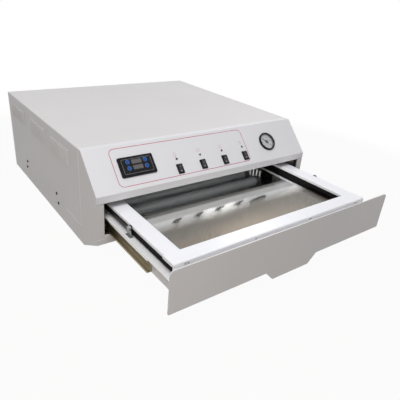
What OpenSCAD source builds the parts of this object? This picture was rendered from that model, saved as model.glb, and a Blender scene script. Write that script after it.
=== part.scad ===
// Screen printing exposure unit: a lamp cabinet with a vacuum drawer on ball slides.
// Every module works in the cabinet's own frame: X to the right, Y to the back with the mouth's
// front plane at 0, Z up with the cabinet's underside at 0. seated() puts it on the ground.

/* [Cabinet] */
// Width over the side walls
cabinet_w = 570; // [566:1:590]
// Depth from the mouth to the back
cabinet_d = 570; // [568:1:590]
// Height without the feet
cabinet_h = 211; // [211:1:220]
// Thickness of the cabinet's and the drawer's sheet metal
sheet_t = 1.2; // [1:0.1:1.2]
// Inner radius of the bends
bend_r = 1; // [0.6:0.1:1.4]
// Height of the rubber feet
foot_h = 3; // [2:0.5:6]
// Height of the seam between the base tray and the top cover
seam_z = 42; // [38:1:44]

/* [Mouth and control panel] */
// Height of the folded sill's front face
sill_h = 19; // [17:1:20]
// Bottom of the sill's front face
sill_z = 37; // [36:1:38]
// How far the lower front corner is cut back
chamfer_d = 70; // [60:1:74]
// Width of the column on each side of the mouth
column_w = 15; // [13:1:16]
// Height of the mouth's upper edge
lip_z = 124.7; // [124.5:0.1:127]
// Height of the lip's front face
lip_h = 16.1; // [15:0.1:17]
// How far the sloped panel runs back
slope_d = 67; // [65:1:69]
// Where the side seam stands behind the front
cheek_d = 79; // [78:1:82]

/* [Louvres] */
// Louvres in each of the three groups on a side
louvre_count = 8; // [5:1:8]
// Distance between louvres
louvre_pitch = 12.9; // [12:0.1:13.4]
// Height of a louvre
louvre_h = 37; // [30:1:40]
// How far a louvre stands out
louvre_out = 3; // [2.4:0.1:3.6]

/* [Drawer] */
// Length of the drawer box
drawer_l = 440; // [438:1:444]
// How far the drawer stands out of the cabinet
drawer_out = 240.6; // [200:0.1:242]
// Height of the box walls
wall_h = 30; // [29:0.5:30.5]
// How far the flange reaches over the slides
flange_w = 10.5; // [8:0.5:11]
// Thickness of the front plate
fascia_t = 2; // [1.5:0.1:2.5]
// Height of the front plate
fascia_h = 82; // [80:1:83]
// Width of the finger tab at its lower edge
tab_w = 98; // [80:1:120]
// How far the finger tab hangs down
tab_h = 20; // [15:1:22]

/* [Ball slides] */
// Height of the slide
slide_h = 27; // [26:0.5:27.5]
// Thickness of the whole slide
slide_w = 12.7; // [12.7:0.1:13.2]
// Length of the member on the drawer
slide_l = 345; // [340:1:348]
// Length of the member in the cabinet
rail_l = 400; // [390:1:410]
// Length of a ball cage
cage_l = 130; // [110:1:136]
// Balls in each row
ball_count = 5; // [3:1:7]
// Radius of a ball
ball_r = 1.6; // [1.4:0.1:1.6]

/* [Tray and lid] */
// Depth of the tray below its rim
tray_depth = 16.3; // [12:0.1:18]
// Thickness of the glass
glass_t = 5; // [4:0.5:5]
// Height of the rubber seal
seal_h = 9.6; // [8:0.1:10]
// Height of the lid's white rim
rim_h = 6; // [5.8:0.1:6.4]
// Width of the lid's rim
rim_w = 33; // [30:1:35]
// Depth of the bar along the lid's front
bar_d = 31; // [28:1:34]
// Distance of the lid's hinges from the middle
hinge_x = 150; // [120:1:180]

/* [Lamps] */
// Number of tubes
lamp_count = 7; // [5:1:7]
// Distance between tubes
lamp_pitch = 47; // [40:1:47]
// Radius of a tube
lamp_r = 13; // [8:0.5:13]
// Length of a tube without its pins
lamp_l = 437; // [420:1:437]
// Distance of the tubes' middle from the cabinet's top
lamp_drop = 59; // [57:0.5:59]

/* [Panel instruments] */
// Width of the timer's bezel
timer_w = 78; // [72:1:80]
// Height of the timer's bezel
timer_h = 41.5; // [38:0.5:43]
// Distance of the timer's middle from the left side
timer_in = 102.6; // [96:0.1:107]
// Radius of the timer's push buttons
button_r = 3.2; // [2.8:0.1:3.5]
// Outer radius of the gauge
gauge_r = 22.8; // [20:0.1:24]
// Distance of the gauge's middle from the right side
gauge_in = 107; // [96:1:115]
// Distance between the rocker switches
rocker_pitch = 61.3; // [58:0.1:62]
// Width of a rocker switch
rocker_w = 14.6; // [13.6:0.1:16]
// Length of a rocker switch
rocker_h = 21.5; // [20:0.1:22]
// Tilt of a rocker to either side
rocker_tilt = 12; // [8:1:13]

/* [Hidden] */

$fn = 48;

// Clearances: between flat faces that pass each other, and round a shaft in its hole
slack = 0.3;
run_fit = 0.05;
cut = 1;

// How far a sheet's flats reach into its bends, how much thinner the metal is in the bend, and
// how far a welded edge reaches into the other sheet
fold_lap = 0.05;
fold_step = 0.01;
weld_in = sheet_t / 2;

// Gap between the edge of one sheet and the folded face of another
sheet_gap = 0.1;

half_w = cabinet_w / 2;
inner_w = half_w - sheet_t;
lip_top = lip_z + lip_h;
sill_top = sill_z + sill_h;
mouth_w = half_w - column_w;
slope_rise = cabinet_h - lip_top;
slope_angle = atan2(slope_rise, slope_d);
return_d = 12;
rear_y = cabinet_d - sheet_t;

inlet_out = 2.5;
front_y = -(cabinet_d + inlet_out - drawer_out - fascia_t) / 2;

// Side louvres: the first louvre of each group, from the front
louvre_first = 137.5;
louvre_last = rear_y - 130.8;
louvre_groups = [0, 0.484, 1];
louvre_starts = [for (g = louvre_groups) louvre_first + g * (louvre_last - louvre_first)];
louvre_z = cabinet_h - 57;
louvre_w = 9;
louvre_r = 7;

// Flange round the back with its screws, and the vent slots between them
rear_flange = 14;
rear_screw_edge = 8;
rear_screw_in = 45;
rear_screw_xs = [for (s = [-1, -0.5, 0.5, 1]) s * (half_w - rear_screw_in)];
vent_count = 10;
vent_pitch = 12;
vent_w = 4;
vent_h = 26;
vent_row = 34;
vent_x = 150;
vent_z = cabinet_h - 91;

// Slots in the cabinet's floor, and the feet below it
floor_slot = [5, 30];
floor_slot_pitch = 15;
floor_slot_ys = [250, 300];
foot_in = 45;
foot_ys = [100, cabinet_d - 50];
foot_r = 11;

// Drawer: the slides and their channels set its width
channel_w = 18.6;
channel_t = 1.5;
channel_h = seam_z + 22;
channel_front = 14;
rail_x = inner_w - channel_w;
box_w = rail_x - slide_w;
box_z = sill_top + 2.3;
flange_z = box_z + wall_h;
flange_top = flange_z + sheet_t;
flange_half = box_w + flange_w;
fascia_w = 2 * half_w - 11;
fascia_z = box_z - 10.8;
fascia_corner = 8;
tab_top_w = tab_w + 2 * tab_h;
tab_corner = 5;
box_foot = 16;

// Slide sections, measured from the slide's middle height
slide_gap = 0.8;
slide_z = flange_z - slide_gap - slide_h / 2;
slide_t = 1.2;
member_d = 9.8;
member_lip = 2.7;
raceway_z = slide_h / 2 - slide_t - ball_r - run_fit;
rail_z = raceway_z - ball_r - run_fit;
rail_d = 9;
ball_x = box_w + 5.5;
cage_t = 0.8;
cage_x = box_w + slide_t + 0.6;
member_y = 91;
stop_out = 3.2;
stop_h = 16;
rail_y = 20;
channel_back = rail_y + rail_l + 44;
cage_y = 35;
cage_pitch = (cage_l - 14) / (ball_count - 1);
rail_screw_r = 3.4;

// Tray and lid, in drawer coordinates from the back of the front plate
tray_t = 0.8;
tray_rim_top = flange_top + tray_t;
tray_floor = tray_rim_top - tray_depth;
glass_z = tray_rim_top + slack;
seal_z = glass_z + glass_t;
rim_z = seal_z + seal_h;
rim_top = rim_z + rim_h;
rim_half = box_w - 2.5;
window_half = rim_half - rim_w;
tray_half = window_half + 0.5;
lid_y = 31;
lid_back = 418.6;
window_y = lid_y + bar_d;
window_back = lid_back - rim_w;
rim_round = 1.2;
bar_half = rim_half + 2;
bar_skirt_z = rim_z - 7.2;
core_half = rim_half - 5.5;
core_top = rim_top - sheet_t;
seal_half = rim_half - 2;
glass_half = rim_half - 2.5;
hinge_y = 424;
hinge_z = flange_top + 4.5;
hinge_l = 36;
knuckle_r = 3.2;
hinge_pin_r = 1.5;
leaf_t = 1;
leaf_l = 13;
leaf_screw_y = 8.5;
leaf_screw_r = 1.3;

// Lid stays
stay_y = 169.6;
stay_z = flange_top + 16.5;
arm_drop = 5.5;
arm_eye = 5.2;
arm_h = 7;
arm_t = 1.6;
arm_x = rim_half + 0.7;
arm_l = 204;
slot_from = 158;
slot_to = 196;
peg_y = 335;
peg_r = 1.8;
ear_x = arm_x + arm_t + 0.4;
ear_t = 1.6;
ear_h = 4.2;
ear_foot = [5, 8.5, 1.5];
pivot_head = [3, 5];

// Lamps
lamp_z = cabinet_h - lamp_drop;
lamp_y = 88;
pin_z = 6;
holder_half = 12;
trough_h = 15;
trough_t = 0.8;
tube_half = lamp_l / 2;
cap_l = 6.5;
pin_l = 7;
holder_w = 11;
bridge_t = 1.5;
bridge_top = lamp_z + 31.3;
bridge_from = 84;
bridge_to = lamp_y + lamp_pitch * (lamp_count - 1) + 40;
ballast_size = [150, 40, 22];
ballast_x = 110;
ballast_ys = [150, 280];

// Panel instruments, placed by X and by the distance up the slope
timer_x = timer_in - half_w;
gauge_x = half_w - gauge_in;
timer_s = 47.3;
timer_body = [70, 35];
timer_depth = 24;
timer_out = 4;
button_s = timer_s + 2.6;
button_dx = 19.5;
button_ds = 6.6;
button_stroke = 0.8;
display_w = 22;
display_h = 9;
rocker_xs = [for (i = [0:3]) i * rocker_pitch - 88.2];
rocker_s = 23;
rocker_bezel = 2;
rocker_depth = 12;
terminal = [4.8, 0.8, 5.5];
terminal_pitch = 6;
paddle_r = rocker_h / 2 - 2.35;
indicator_s = 46;
gauge_s = 46.9;
gauge_depth = 22;
gauge_out = 5;
gauge_body_r = gauge_r - 2.6;

// Places everything on the ground, with the origin under the middle of the outline
module seated() {
  translate([0, front_y, foot_h]) children();
}

// Carries a piece of the drawer to where the drawer stands
module on_drawer() {
  translate([0, -drawer_out, 0]) children();
}

// Carries a piece to the sloped panel: X across, Y up the slope, Z out of it
module on_slope(x = 0, s = 0) {
  translate([x, 0, lip_top])
    rotate([slope_angle, 0, 0])
      translate([0, s, 0]) children();
}

// The same piece on the right and on the left
module both_sides() {
  children();
  mirror([1, 0, 0]) children();
}

// Extrudes a (y, z) outline along X from x0 over a length
module along_x(x0, l) {
  translate([x0, 0, 0])
    rotate([90, 0, 90])
      linear_extrude(l) children();
}

// Extrudes an (x, z) outline along Y from y0 over a length
module along_y(y0, l) {
  translate([0, y0 + l, 0])
    rotate([90, 0, 0])
      linear_extrude(l) children();
}

// Box given by its two corners
module block(from, to) {
  translate(from) cube(to - from);
}

// Cylinder along X, from x0 over a length
module x_rod(x0, l, r) {
  translate([x0, 0, 0]) rotate([0, 90, 0]) cylinder(h = l, r = r);
}

// Rectangle with round corners, centred
module rounded(w, h, r) {
  square([w - 2 * r, h], center = true);
  square([w, h - 2 * r], center = true);
  for (sx = [-1, 1], sy = [-1, 1])
    translate([sx * (w / 2 - r), sy * (h / 2 - r)]) circle(r);
}

// Unit direction of step i of a path, and its right-hand normal
function step_dir(p, i) = (p[i + 1] - p[i]) / norm(p[i + 1] - p[i]);
function right_of(d) = [d.y, -d.x];

// Signed turn at corner i: positive to the left
function turn_at(p, i) =
  let (a = step_dir(p, i - 1), b = step_dir(p, i))
    atan2(a.x * b.y - a.y * b.x, a * b);

// Length that a bend takes from each of its two flats
function bend_cut(p, i, t, r) =
  (i == 0 || i == len(p) - 1) ? 0
  : (r[i] + (turn_at(p, i) < 0 ? t : 0)) * tan(abs(turn_at(p, i)) / 2);

// Folded sheet seen from its edge: p is the outer face, the metal lies to the right of the path,
// t is its thickness and r the inner radius of each bend
module folded(p, t, r) {
  last = len(p) - 2;
  for (i = [0:last]) {
    d = step_dir(p, i);
    n = right_of(d) * t;
    a = p[i] + d * (i == 0 ? 0 : bend_cut(p, i, t, r) - fold_lap);
    b = p[i + 1] - d * (i == last ? 0 : bend_cut(p, i + 1, t, r) - fold_lap);
    polygon([a, a + n, b + n, b]);
  }
  for (i = [1:len(p) - 2])
    fold(p[i], step_dir(p, i - 1), step_dir(p, i), turn_at(p, i), t, r[i]);
}

// One bend of a folded sheet
module fold(corner, d_in, d_out, turn, t, r) {
  side = turn < 0 ? 1 : -1;
  face_r = turn < 0 ? r + t : r;
  tangent = corner - d_in * face_r * tan(abs(turn) / 2);
  centre = tangent + right_of(d_in) * side * face_r;
  reach = 3 * (r + t);
  u1 = -right_of(d_in) * side;
  u2 = -right_of(d_out) * side;
  um = (u1 + u2) / norm(u1 + u2);
  intersection() {
    translate(centre) difference() {
      circle(r + t - fold_step);
      circle(r + fold_step);
    }
    polygon([centre, centre + u1 * reach, centre + um * reach, centre + u2 * reach]);
  }
}

// The same inner radius at every corner of a path
function even(p, r) = [for (q = p) r];

// Inner face of a folded sheet with sharp corners
function inner_face(p, t) = [
  for (i = [0:len(p) - 1])
    let (
      a = i == 0 ? step_dir(p, 0) : step_dir(p, i - 1),
      b = i == len(p) - 1 ? a : step_dir(p, i),
      m = right_of(a) + right_of(b)
    )
      p[i] + m * t * 2 / (m * m)
];

// Outer face of the lip, the slope and the strip behind it
panel_path = [
  [return_d, lip_z], [0, lip_z], [0, lip_top], [slope_d, cabinet_h], [cheek_d, cabinet_h]
];

// Outer face of the sill, the cut-back corner and the floor, from the back to the mouth
floor_path = [
  [rear_y, 0], [chamfer_d, 0], [0, sill_z], [0, sill_top], [return_d, sill_top]
];

// Pan-head or button screw: head on the face Z = 0, shank below it
module screw(r, head_r, head_h, l) {
  difference() {
    union() {
      cylinder(h = head_h * 0.5, r = head_r);
      translate([0, 0, head_h * 0.5]) cylinder(h = head_h * 0.5, r1 = head_r, r2 = head_r * 0.7);
      translate([0, 0, -l]) cylinder(h = l, r = r);
    }
    for (a = [0, 90])
      rotate(a) translate([0, 0, head_h])
        cube([head_r * 1.1, head_r * 0.22, head_h], center = true);
  }
}

cover_screw_r = 2;
cover_screw_head = 3.8;

// Places of the black side screws: through the cover, and through the tray's wall
cover_screw_places = [[223, 54], [443, 54]];
tray_screw_places = [[215, 32.5], [450, 36]];

module side_screw_holes(places) {
  for (p = places)
    translate([0, p[0], p[1]])
      both_sides() x_rod(inner_w - 4, sheet_t + 5, cover_screw_r + run_fit);
}

module rear_screw_holes(z) {
  for (x = rear_screw_xs)
    translate([x, rear_y - 4, z])
      rotate([-90, 0, 0]) cylinder(h = 8, r = cover_screw_r + run_fit);
}

// One side of the base: a low wall with the tall cheek beside the mouth
module cheek_outline() {
  top = inner_face(panel_path, sheet_t + sheet_gap);
  base = inner_face(floor_path, weld_in);
  polygon([
    base[0], base[1], base[2], [weld_in, lip_z], [return_d + sheet_gap, lip_z],
    [return_d + sheet_gap, top[0].y], top[1], top[2], top[3], [cheek_d, top[4].y],
    [cheek_d, seam_z], [rear_y, seam_z]
  ]);
}

// Base tray with sill, columns and cheeks, one folded and welded sheet
module chassis() seated() color("#d5d3d0") difference() {
  union() {
    along_x(-half_w, cabinet_w) folded(floor_path, sheet_t, even(floor_path, bend_r));
    both_sides() {
      along_x(inner_w, sheet_t) cheek_outline();
      block([mouth_w, 0, sill_top - 1], [half_w, sheet_t, lip_z]);
      block([mouth_w, 0, sill_top], [mouth_w + sheet_t, return_d, lip_z]);
    }
    block(
      [-inner_w - weld_in, rear_y - sheet_t, weld_in], [inner_w + weld_in, rear_y, rear_flange]
    );
  }
  side_screw_holes(tray_screw_places);
  rear_screw_holes(rear_screw_edge);
  for (i = [-4:4], y = floor_slot_ys)
    translate([i * floor_slot_pitch, y, 0])
      block([-floor_slot.x / 2, 0, -cut], [floor_slot.x / 2, floor_slot.y, sheet_t + cut]);
}

// Lip, slope with its cut-outs, and the strip that runs under the top cover
module control_panel() seated() color("#e4e6ea") difference() {
  union() {
    along_x(-half_w, cabinet_w) folded(panel_path, sheet_t, even(panel_path, bend_r));
    block(
      [-inner_w + 1, cheek_d - 5, cabinet_h - 2 * sheet_t],
      [inner_w - 1, cheek_d, cabinet_h - sheet_t * 0.8]
    );
    block(
      [-inner_w + 1, cheek_d - 1, cabinet_h - 2 * sheet_t],
      [inner_w - 1, cheek_d + 10, cabinet_h - sheet_t]
    );
    both_sides() on_slope()
      block([inner_w - sheet_t, 14, -13], [inner_w, 84, -sheet_t * 0.8]);
  }
  on_slope(timer_x, timer_s)
    cube([timer_body.x + slack, timer_body.y + slack, 20], center = true);
  for (x = rocker_xs) {
    on_slope(x, rocker_s)
      cube([rocker_w - 2 + slack, rocker_h - 2 + slack, 20], center = true);
    on_slope(x, indicator_s) cylinder(h = 20, r = 2 + run_fit, center = true);
  }
  on_slope(gauge_x, gauge_s) cylinder(h = 20, r = gauge_body_r + slack, center = true);
}

// One pressed louvre standing out of the wall towards +X, its slit to the back
module louvre_form(grow, y0) {
  arc_r = louvre_r + grow;
  intersection() {
    translate([louvre_out - louvre_r, y0, 0])
      cylinder(h = louvre_h, r = arc_r);
    along_y(y0 - louvre_w, louvre_w)
      polygon([
        [-sheet_t, -grow * 0.4], [0, -grow * 0.4],
        [louvre_out + grow, louvre_out],
        [louvre_out + grow, louvre_h - louvre_out],
        [0, louvre_h + grow * 0.4], [-sheet_t, louvre_h + grow * 0.4]
      ]);
  }
}

function louvre_places() = [
  for (start = louvre_starts, i = [0:louvre_count - 1]) start + i * louvre_pitch
];

// Folded top cover with the pressed louvres in its sides
module top_cover() seated() color("#c9c7c3") {
  path = [
    [-half_w, seam_z], [-half_w, cabinet_h], [half_w, cabinet_h], [half_w, seam_z]
  ];
  difference() {
    union() {
      along_y(cheek_d, rear_y - cheek_d)
        folded(path, sheet_t, even(path, bend_r));
      both_sides() {
        translate([half_w, 0, louvre_z])
          for (y = louvre_places()) louvre_form(0, y);
        block(
          [inner_w - rear_flange + 2, rear_y - sheet_t, seam_z + 4],
          [inner_w + weld_in, rear_y, cabinet_h - rear_flange]
        );
      }
      block(
        [-inner_w + rear_flange, rear_y - sheet_t, cabinet_h - rear_flange],
        [inner_w - rear_flange, rear_y, cabinet_h - weld_in]
      );
    }
    both_sides()
      translate([half_w, 0, louvre_z])
        for (y = louvre_places()) translate([0, cut / 100, 0]) louvre_form(-sheet_t * 0.7, y);
    side_screw_holes(cover_screw_places);
    rear_screw_holes(cabinet_h - rear_screw_edge);
  }
}

// Rear panel with two fields of vent slots and the power inlet's cut-out
module rear_panel() seated() color("#c9c7c3") difference() {
  block([-half_w, rear_y, 0], [half_w, cabinet_d, cabinet_h]);
  rear_screw_holes(rear_screw_edge);
  rear_screw_holes(cabinet_h - rear_screw_edge);
  for (side = [-1, 1], i = [0:vent_count - 1], row = [0, 1])
    translate([
      side * vent_x + (i - (vent_count - 1) / 2) * vent_pitch, rear_y - cut, vent_z + row * vent_row
    ])
      block([-vent_w / 2, 0, 0], [vent_w / 2, sheet_t + 2 * cut, vent_h]);
  translate([inlet_x, rear_y + sheet_t / 2, inlet_z])
    cube([inlet_w + slack, 4, inlet_h + slack], center = true);
}

// Four low rubber feet with a screw recess
module feet() seated() color("#2a2a2a")
  for (side = [-1, 1], y = foot_ys)
    translate([side * (half_w - foot_in), y, -foot_h]) difference() {
      cylinder(h = foot_h, r = foot_r);
      translate([0, 0, -cut]) cylinder(h = cut + foot_h / 2, r = 4);
    }

// Black button-head screws in the sides and the back
module cover_screws() seated() color("#1c1c1e") {
  for (p = concat(cover_screw_places, tray_screw_places))
    both_sides()
      translate([half_w, p[0], p[1]]) rotate([0, 90, 0])
        screw(cover_screw_r, cover_screw_head, 1.6, 5);
  for (x = rear_screw_xs, z = [rear_screw_edge, cabinet_h - rear_screw_edge])
    translate([x, cabinet_d, z]) rotate([-90, 0, 0])
      screw(cover_screw_r, cover_screw_head, 1.6, 5);
}

// Upright channels that stand on the floor and carry the slides
module slide_channels() seated() color("#b9bcc0") both_sides() difference() {
  top = flange_z - 2.3;
  toe = chamfer_d + 5;
  foot = [[channel_front, sill_z - 4], [toe, sheet_t], [channel_back, sheet_t]];
  union() {
    along_x(rail_x, channel_t)
      polygon(concat(foot, [[channel_back, top], [channel_front, top]]));
    along_x(inner_w - channel_t, channel_t)
      polygon(concat(foot, [[channel_back, channel_h], [channel_front, channel_h]]));
    block([rail_x, toe, sheet_t], [inner_w, channel_back, sheet_t + channel_t]);
  }
  for (p = concat(cover_screw_places, tray_screw_places))
    translate([0, p[0], p[1]]) x_rod(inner_w - 4, 5, cover_screw_r + run_fit);
  for (y = rail_screw_ys)
    translate([0, y, slide_z]) x_rod(rail_x - cut, 4, rail_shank_r + run_fit);
}

rail_shank_r = 1.8;
rail_screw_ys = [60, 210, 380];
member_screw_ys = [145, 265, 385];

// Screw with a flat head sunk flush, its head towards +Z
module flush_screw(l) {
  difference() {
    union() {
      translate([0, 0, -slide_t])
        cylinder(h = slide_t, r1 = rail_shank_r, r2 = rail_screw_r);
      translate([0, 0, -l]) cylinder(h = l - slide_t, r = rail_shank_r);
    }
    for (a = [45, 135])
      rotate(a) cube([rail_screw_r * 1.3, 0.7, 1], center = true);
  }
}

// The hole that a flush screw sits in, its cone running on above the sheet's face
module flush_hole() {
  grow = (rail_screw_r - rail_shank_r) / slide_t;
  above = 0.4;
  translate([0, 0, -slide_t])
    cylinder(
      h = slide_t + above, r1 = rail_shank_r + run_fit, r2 = rail_screw_r + run_fit + grow * above
    );
  translate([0, 0, -slide_t - cut]) cylinder(h = cut + 0.01, r = rail_shank_r + run_fit);
}

// Inner slide members, fixed to the channels, open towards the drawer
module cabinet_rails() seated() color("#a9abad") both_sides() difference() {
  path = [
    [rail_x - rail_d, slide_z + rail_z], [rail_x, slide_z + rail_z],
    [rail_x, slide_z - rail_z], [rail_x - rail_d, slide_z - rail_z]
  ];
  along_y(rail_y, rail_l) folded(path, slide_t, even(path, 0.5));
  for (y = rail_screw_ys)
    translate([rail_x - slide_t, y, slide_z]) rotate([0, -90, 0]) flush_hole();
}

module cabinet_rail_screws() seated() color("#8f9296") both_sides()
  for (y = rail_screw_ys)
    translate([rail_x - slide_t, y, slide_z]) rotate([0, -90, 0])
      flush_screw(slide_t + channel_t);

// Outer slide members, fixed to the drawer's sides, with lips that hold the balls and a small
// stop bent out of each front end
module drawer_rails() seated() on_drawer() color("#8a7f70") both_sides() difference() {
  half_h = slide_h / 2;
  path = [
    [box_w + member_d, slide_z - half_h + member_lip], [box_w + member_d, slide_z - half_h],
    [box_w, slide_z - half_h], [box_w, slide_z + half_h],
    [box_w + member_d, slide_z + half_h], [box_w + member_d, slide_z + half_h - member_lip]
  ];
  union() {
    along_y(member_y, slide_l) folded(path, slide_t, even(path, 0.5));
    block(
      [box_w + slide_t / 2, member_y + 0.4, slide_z - stop_h / 2],
      [box_w + stop_out, member_y + 0.4 + slide_t, slide_z + stop_h / 2]
    );
  }
  for (y = member_screw_ys)
    translate([box_w + slide_t, y, slide_z]) rotate([0, 90, 0]) flush_hole();
}

module drawer_rail_screws() seated() on_drawer() color("#b8b4aa") both_sides()
  for (y = member_screw_ys)
    translate([box_w + slide_t, y, slide_z]) rotate([0, 90, 0])
      flush_screw(slide_t + sheet_t);

// Ball cage: a thin channel with two rows of balls in its holes
module ball_cage() {
  outer_z = raceway_z + cage_t / 2;
  difference() {
    union() {
      block([cage_x, cage_y, slide_z - outer_z], [cage_x + cage_t, cage_y + cage_l, slide_z + outer_z]);
      for (sz = [-1, 1])
        translate([0, 0, slide_z + sz * raceway_z])
          block([cage_x, cage_y, -cage_t / 2], [ball_x + ball_r + 0.6, cage_y + cage_l, cage_t / 2]);
    }
    cage_balls(ball_r + run_fit * 2);
    for (i = [0:ball_count - 2])
      translate([0, cage_y + 7 + (i + 0.5) * cage_pitch, slide_z])
        cube([2.2 * cage_x, cage_pitch * 0.5, raceway_z], center = true);
  }
  cage_balls(ball_r);
}

module cage_balls(r) {
  for (i = [0:ball_count - 1], sz = [-1, 1])
    translate([ball_x, cage_y + 7 + i * cage_pitch, slide_z + sz * raceway_z]) sphere(r, $fn = 24);
}

module ball_cage_left() seated() color("#d8c27a") mirror([1, 0, 0]) ball_cage();

module ball_cage_right() seated() color("#d8c27a") ball_cage();

// Drawer box: walls, a flat flange over the slides, and inward lower flanges
module drawer_box() seated() on_drawer() color("#e6e4e2") difference() {
  union() {
    difference() {
      block([-flange_half, 0, flange_z], [flange_half, drawer_l, flange_top]);
      block([-tray_hole, tray_y - 2, flange_z - cut], [tray_hole, tray_back + 2, flange_top + cut]);
    }
    difference() {
      block([-box_w, 0, box_z], [box_w, drawer_l, flange_z]);
      block(
        [-box_w + sheet_t, sheet_t, box_z + sheet_t],
        [box_w - sheet_t, drawer_l - sheet_t, flange_z + cut]
      );
      block(
        [-box_w + box_foot, box_foot, box_z - cut],
        [box_w - box_foot, drawer_l - box_foot, box_z + 2 * sheet_t]
      );
    }
  }
  for (y = member_screw_ys)
    translate([0, y, slide_z])
      both_sides() x_rod(box_w - 4, 5, rail_shank_r + run_fit);
  for (x = fascia_stud_xs)
    translate([x, -cut, fascia_stud_z]) rotate([-90, 0, 0])
      cylinder(h = 4, r = stud_r + run_fit);
}

tray_y = window_y - 2;
tray_back = window_back + 4;
tray_rim = 15;
tray_hole = tray_half + tray_t + 1.5;
port_place = [tray_half - 22, tray_back - 22];
port_r = 4;

// Shallow bright tray that hangs in the box by its rim, with the suction hole at the back
module tray_pan() seated() on_drawer() color("#b9a992") difference() {
  under = tray_floor - tray_t;
  union() {
    block(
      [-tray_half - tray_rim, tray_y - tray_rim, flange_top],
      [tray_half + tray_rim, tray_back + tray_rim, tray_rim_top]
    );
    block(
      [-tray_half - tray_t, tray_y - tray_t, under],
      [tray_half + tray_t, tray_back + tray_t, tray_rim_top]
    );
  }
  block([-tray_half, tray_y, tray_floor], [tray_half, tray_back, tray_rim_top + cut]);
  translate([port_place.x, port_place.y, under - cut]) cylinder(h = 4, r = port_r);
}

fascia_stud_xs = [-200, -70, 70, 200];
fascia_stud_z = 74;
stud_r = 2;

// Front plate with its finger tab, and the studs that hold it
module fascia() seated() on_drawer() color("#d9d5d2") {
  along_y(-fascia_t, fascia_t) {
    translate([0, fascia_z + fascia_h / 2]) rounded(fascia_w, fascia_h, fascia_corner);
    for (sx = [-1, 1])
      translate([sx * (fascia_w / 2 - 2), fascia_z + 2]) circle(2);
    square_bottom = fascia_z + fascia_corner;
    polygon([
      [-fascia_w / 2 + 2, fascia_z], [fascia_w / 2 - 2, fascia_z], [fascia_w / 2, fascia_z + 2],
      [fascia_w / 2, square_bottom], [-fascia_w / 2, square_bottom], [-fascia_w / 2, fascia_z + 2]
    ]);
    tab_side = atan2(tab_h, (tab_top_w - tab_w) / 2);
    lean = tab_corner * tan(tab_side / 2);
    for (sx = [-1, 1])
      translate([sx * (tab_w / 2 - lean), fascia_z - tab_h + tab_corner]) circle(tab_corner);
    foot = [tab_w / 2 - lean, fascia_z - tab_h];
    shoulder = foot + [tab_corner * sin(tab_side), tab_corner - tab_corner * cos(tab_side)];
    polygon([
      [-tab_top_w / 2, fascia_z + 1], [-tab_top_w / 2, fascia_z], [-shoulder.x, shoulder.y],
      [-foot.x, foot.y], foot, shoulder, [tab_top_w / 2, fascia_z], [tab_top_w / 2, fascia_z + 1]
    ]);
  }
  for (x = fascia_stud_xs)
    translate([x, 0, fascia_stud_z]) rotate([-90, 0, 0]) cylinder(h = 8, r = stud_r);
}

// Hexagon nuts on the front plate's studs
module fascia_nuts() seated() on_drawer() color("#b5b8bb")
  for (x = fascia_stud_xs)
    translate([x, sheet_t, fascia_stud_z]) rotate([-90, 0, 0])
      linear_extrude(3.2) difference() {
        polygon([for (i = [0:5]) 4 * [cos(60 * i), sin(60 * i)]]);
        circle(stud_r + run_fit);
      }

// Outer face of the rim's channel section, from its inner edge to its outer edge
function channel_path(inner, outer) = [
  [inner, rim_z], [inner, rim_top], [outer, rim_top], [outer, rim_z]
];

// White rim of the lid: three folded channels mitred at the back corners
module lid_rim() seated() on_drawer() color("#f0f0f0") {
  radii = [0, bend_r, rim_round, 0];
  side = channel_path(window_half, rim_half);
  back = channel_path(window_back, lid_back);
  both_sides() {
    intersection() {
      along_y(window_y, lid_back - window_y) folded(side, sheet_t, radii);
      linear_extrude(rim_top + cut)
        polygon([
          [window_half - cut, window_y], [rim_half + cut, window_y],
          [rim_half + cut, lid_back + cut], [rim_half, lid_back],
          [window_half - cut, window_back - cut]
        ]);
    }
    difference() {
      block([rim_half - sheet_t, peg_y - 6, glass_z + 5.4], [rim_half, peg_y + 6, rim_z]);
      translate([0, peg_y, peg_z]) x_rod(rim_half - 3, 6, peg_r);
    }
  }
  intersection() {
    along_x(-rim_half, 2 * rim_half) folded(back, sheet_t, radii);
    linear_extrude(rim_top + cut)
      polygon([
        [-rim_half, lid_back], [-window_half, window_back], [-window_half, window_back - cut],
        [window_half, window_back - cut], [window_half, window_back], [rim_half, lid_back],
        [rim_half, lid_back + cut], [-rim_half, lid_back + cut]
      ]);
  }
}

peg_z = stay_z - arm_drop;
core_front = lid_y + 3.2;
core_in = window_half + 2;

// Flat metal ring inside the rim that the glass and the seal hang from
module lid_core() seated() on_drawer() color("#a8acb0") difference() {
  block([-core_half, core_front, rim_z], [core_half, lid_back - 5.5, core_top]);
  block([-core_in, window_y - 3, rim_z - cut], [core_in, window_back + 2, core_top + cut]);
  for (x = bar_screw_xs)
    translate([x, core_front - cut, bar_screw_z]) rotate([-90, 0, 0])
      cylinder(h = 9, r = bar_screw_r + run_fit);
}

bar_screw_r = 1.4;
bar_screw_z = rim_z + 2.3;
bar_pair_xs = [bar_half - 29, bar_half - 22.6];
bar_single_x = 74;
bar_screw_xs = [
  for (x = concat(bar_pair_xs, bar_single_x), side = [-1, 1]) x * side
];

// Folded bar along the lid's front with a skirt over the seal
module front_bar() seated() on_drawer() color("#f0f0f0") difference() {
  path = [[lid_y, bar_skirt_z], [lid_y, rim_top], [window_y, rim_top]];
  union() {
    along_x(-bar_half, 2 * bar_half) folded(path, sheet_t, [0, 1.8, 0]);
    block([-window_half, window_y - sheet_t, rim_z], [window_half, window_y, rim_top]);
    both_sides()
      block([bar_half - sheet_t, lid_y + 3, rim_z], [bar_half, window_y, rim_top - weld_in]);
  }
  for (x = bar_screw_xs)
    translate([x, lid_y - cut, bar_screw_z]) rotate([-90, 0, 0])
      cylinder(h = 4, r = bar_screw_r + run_fit);
}

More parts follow.
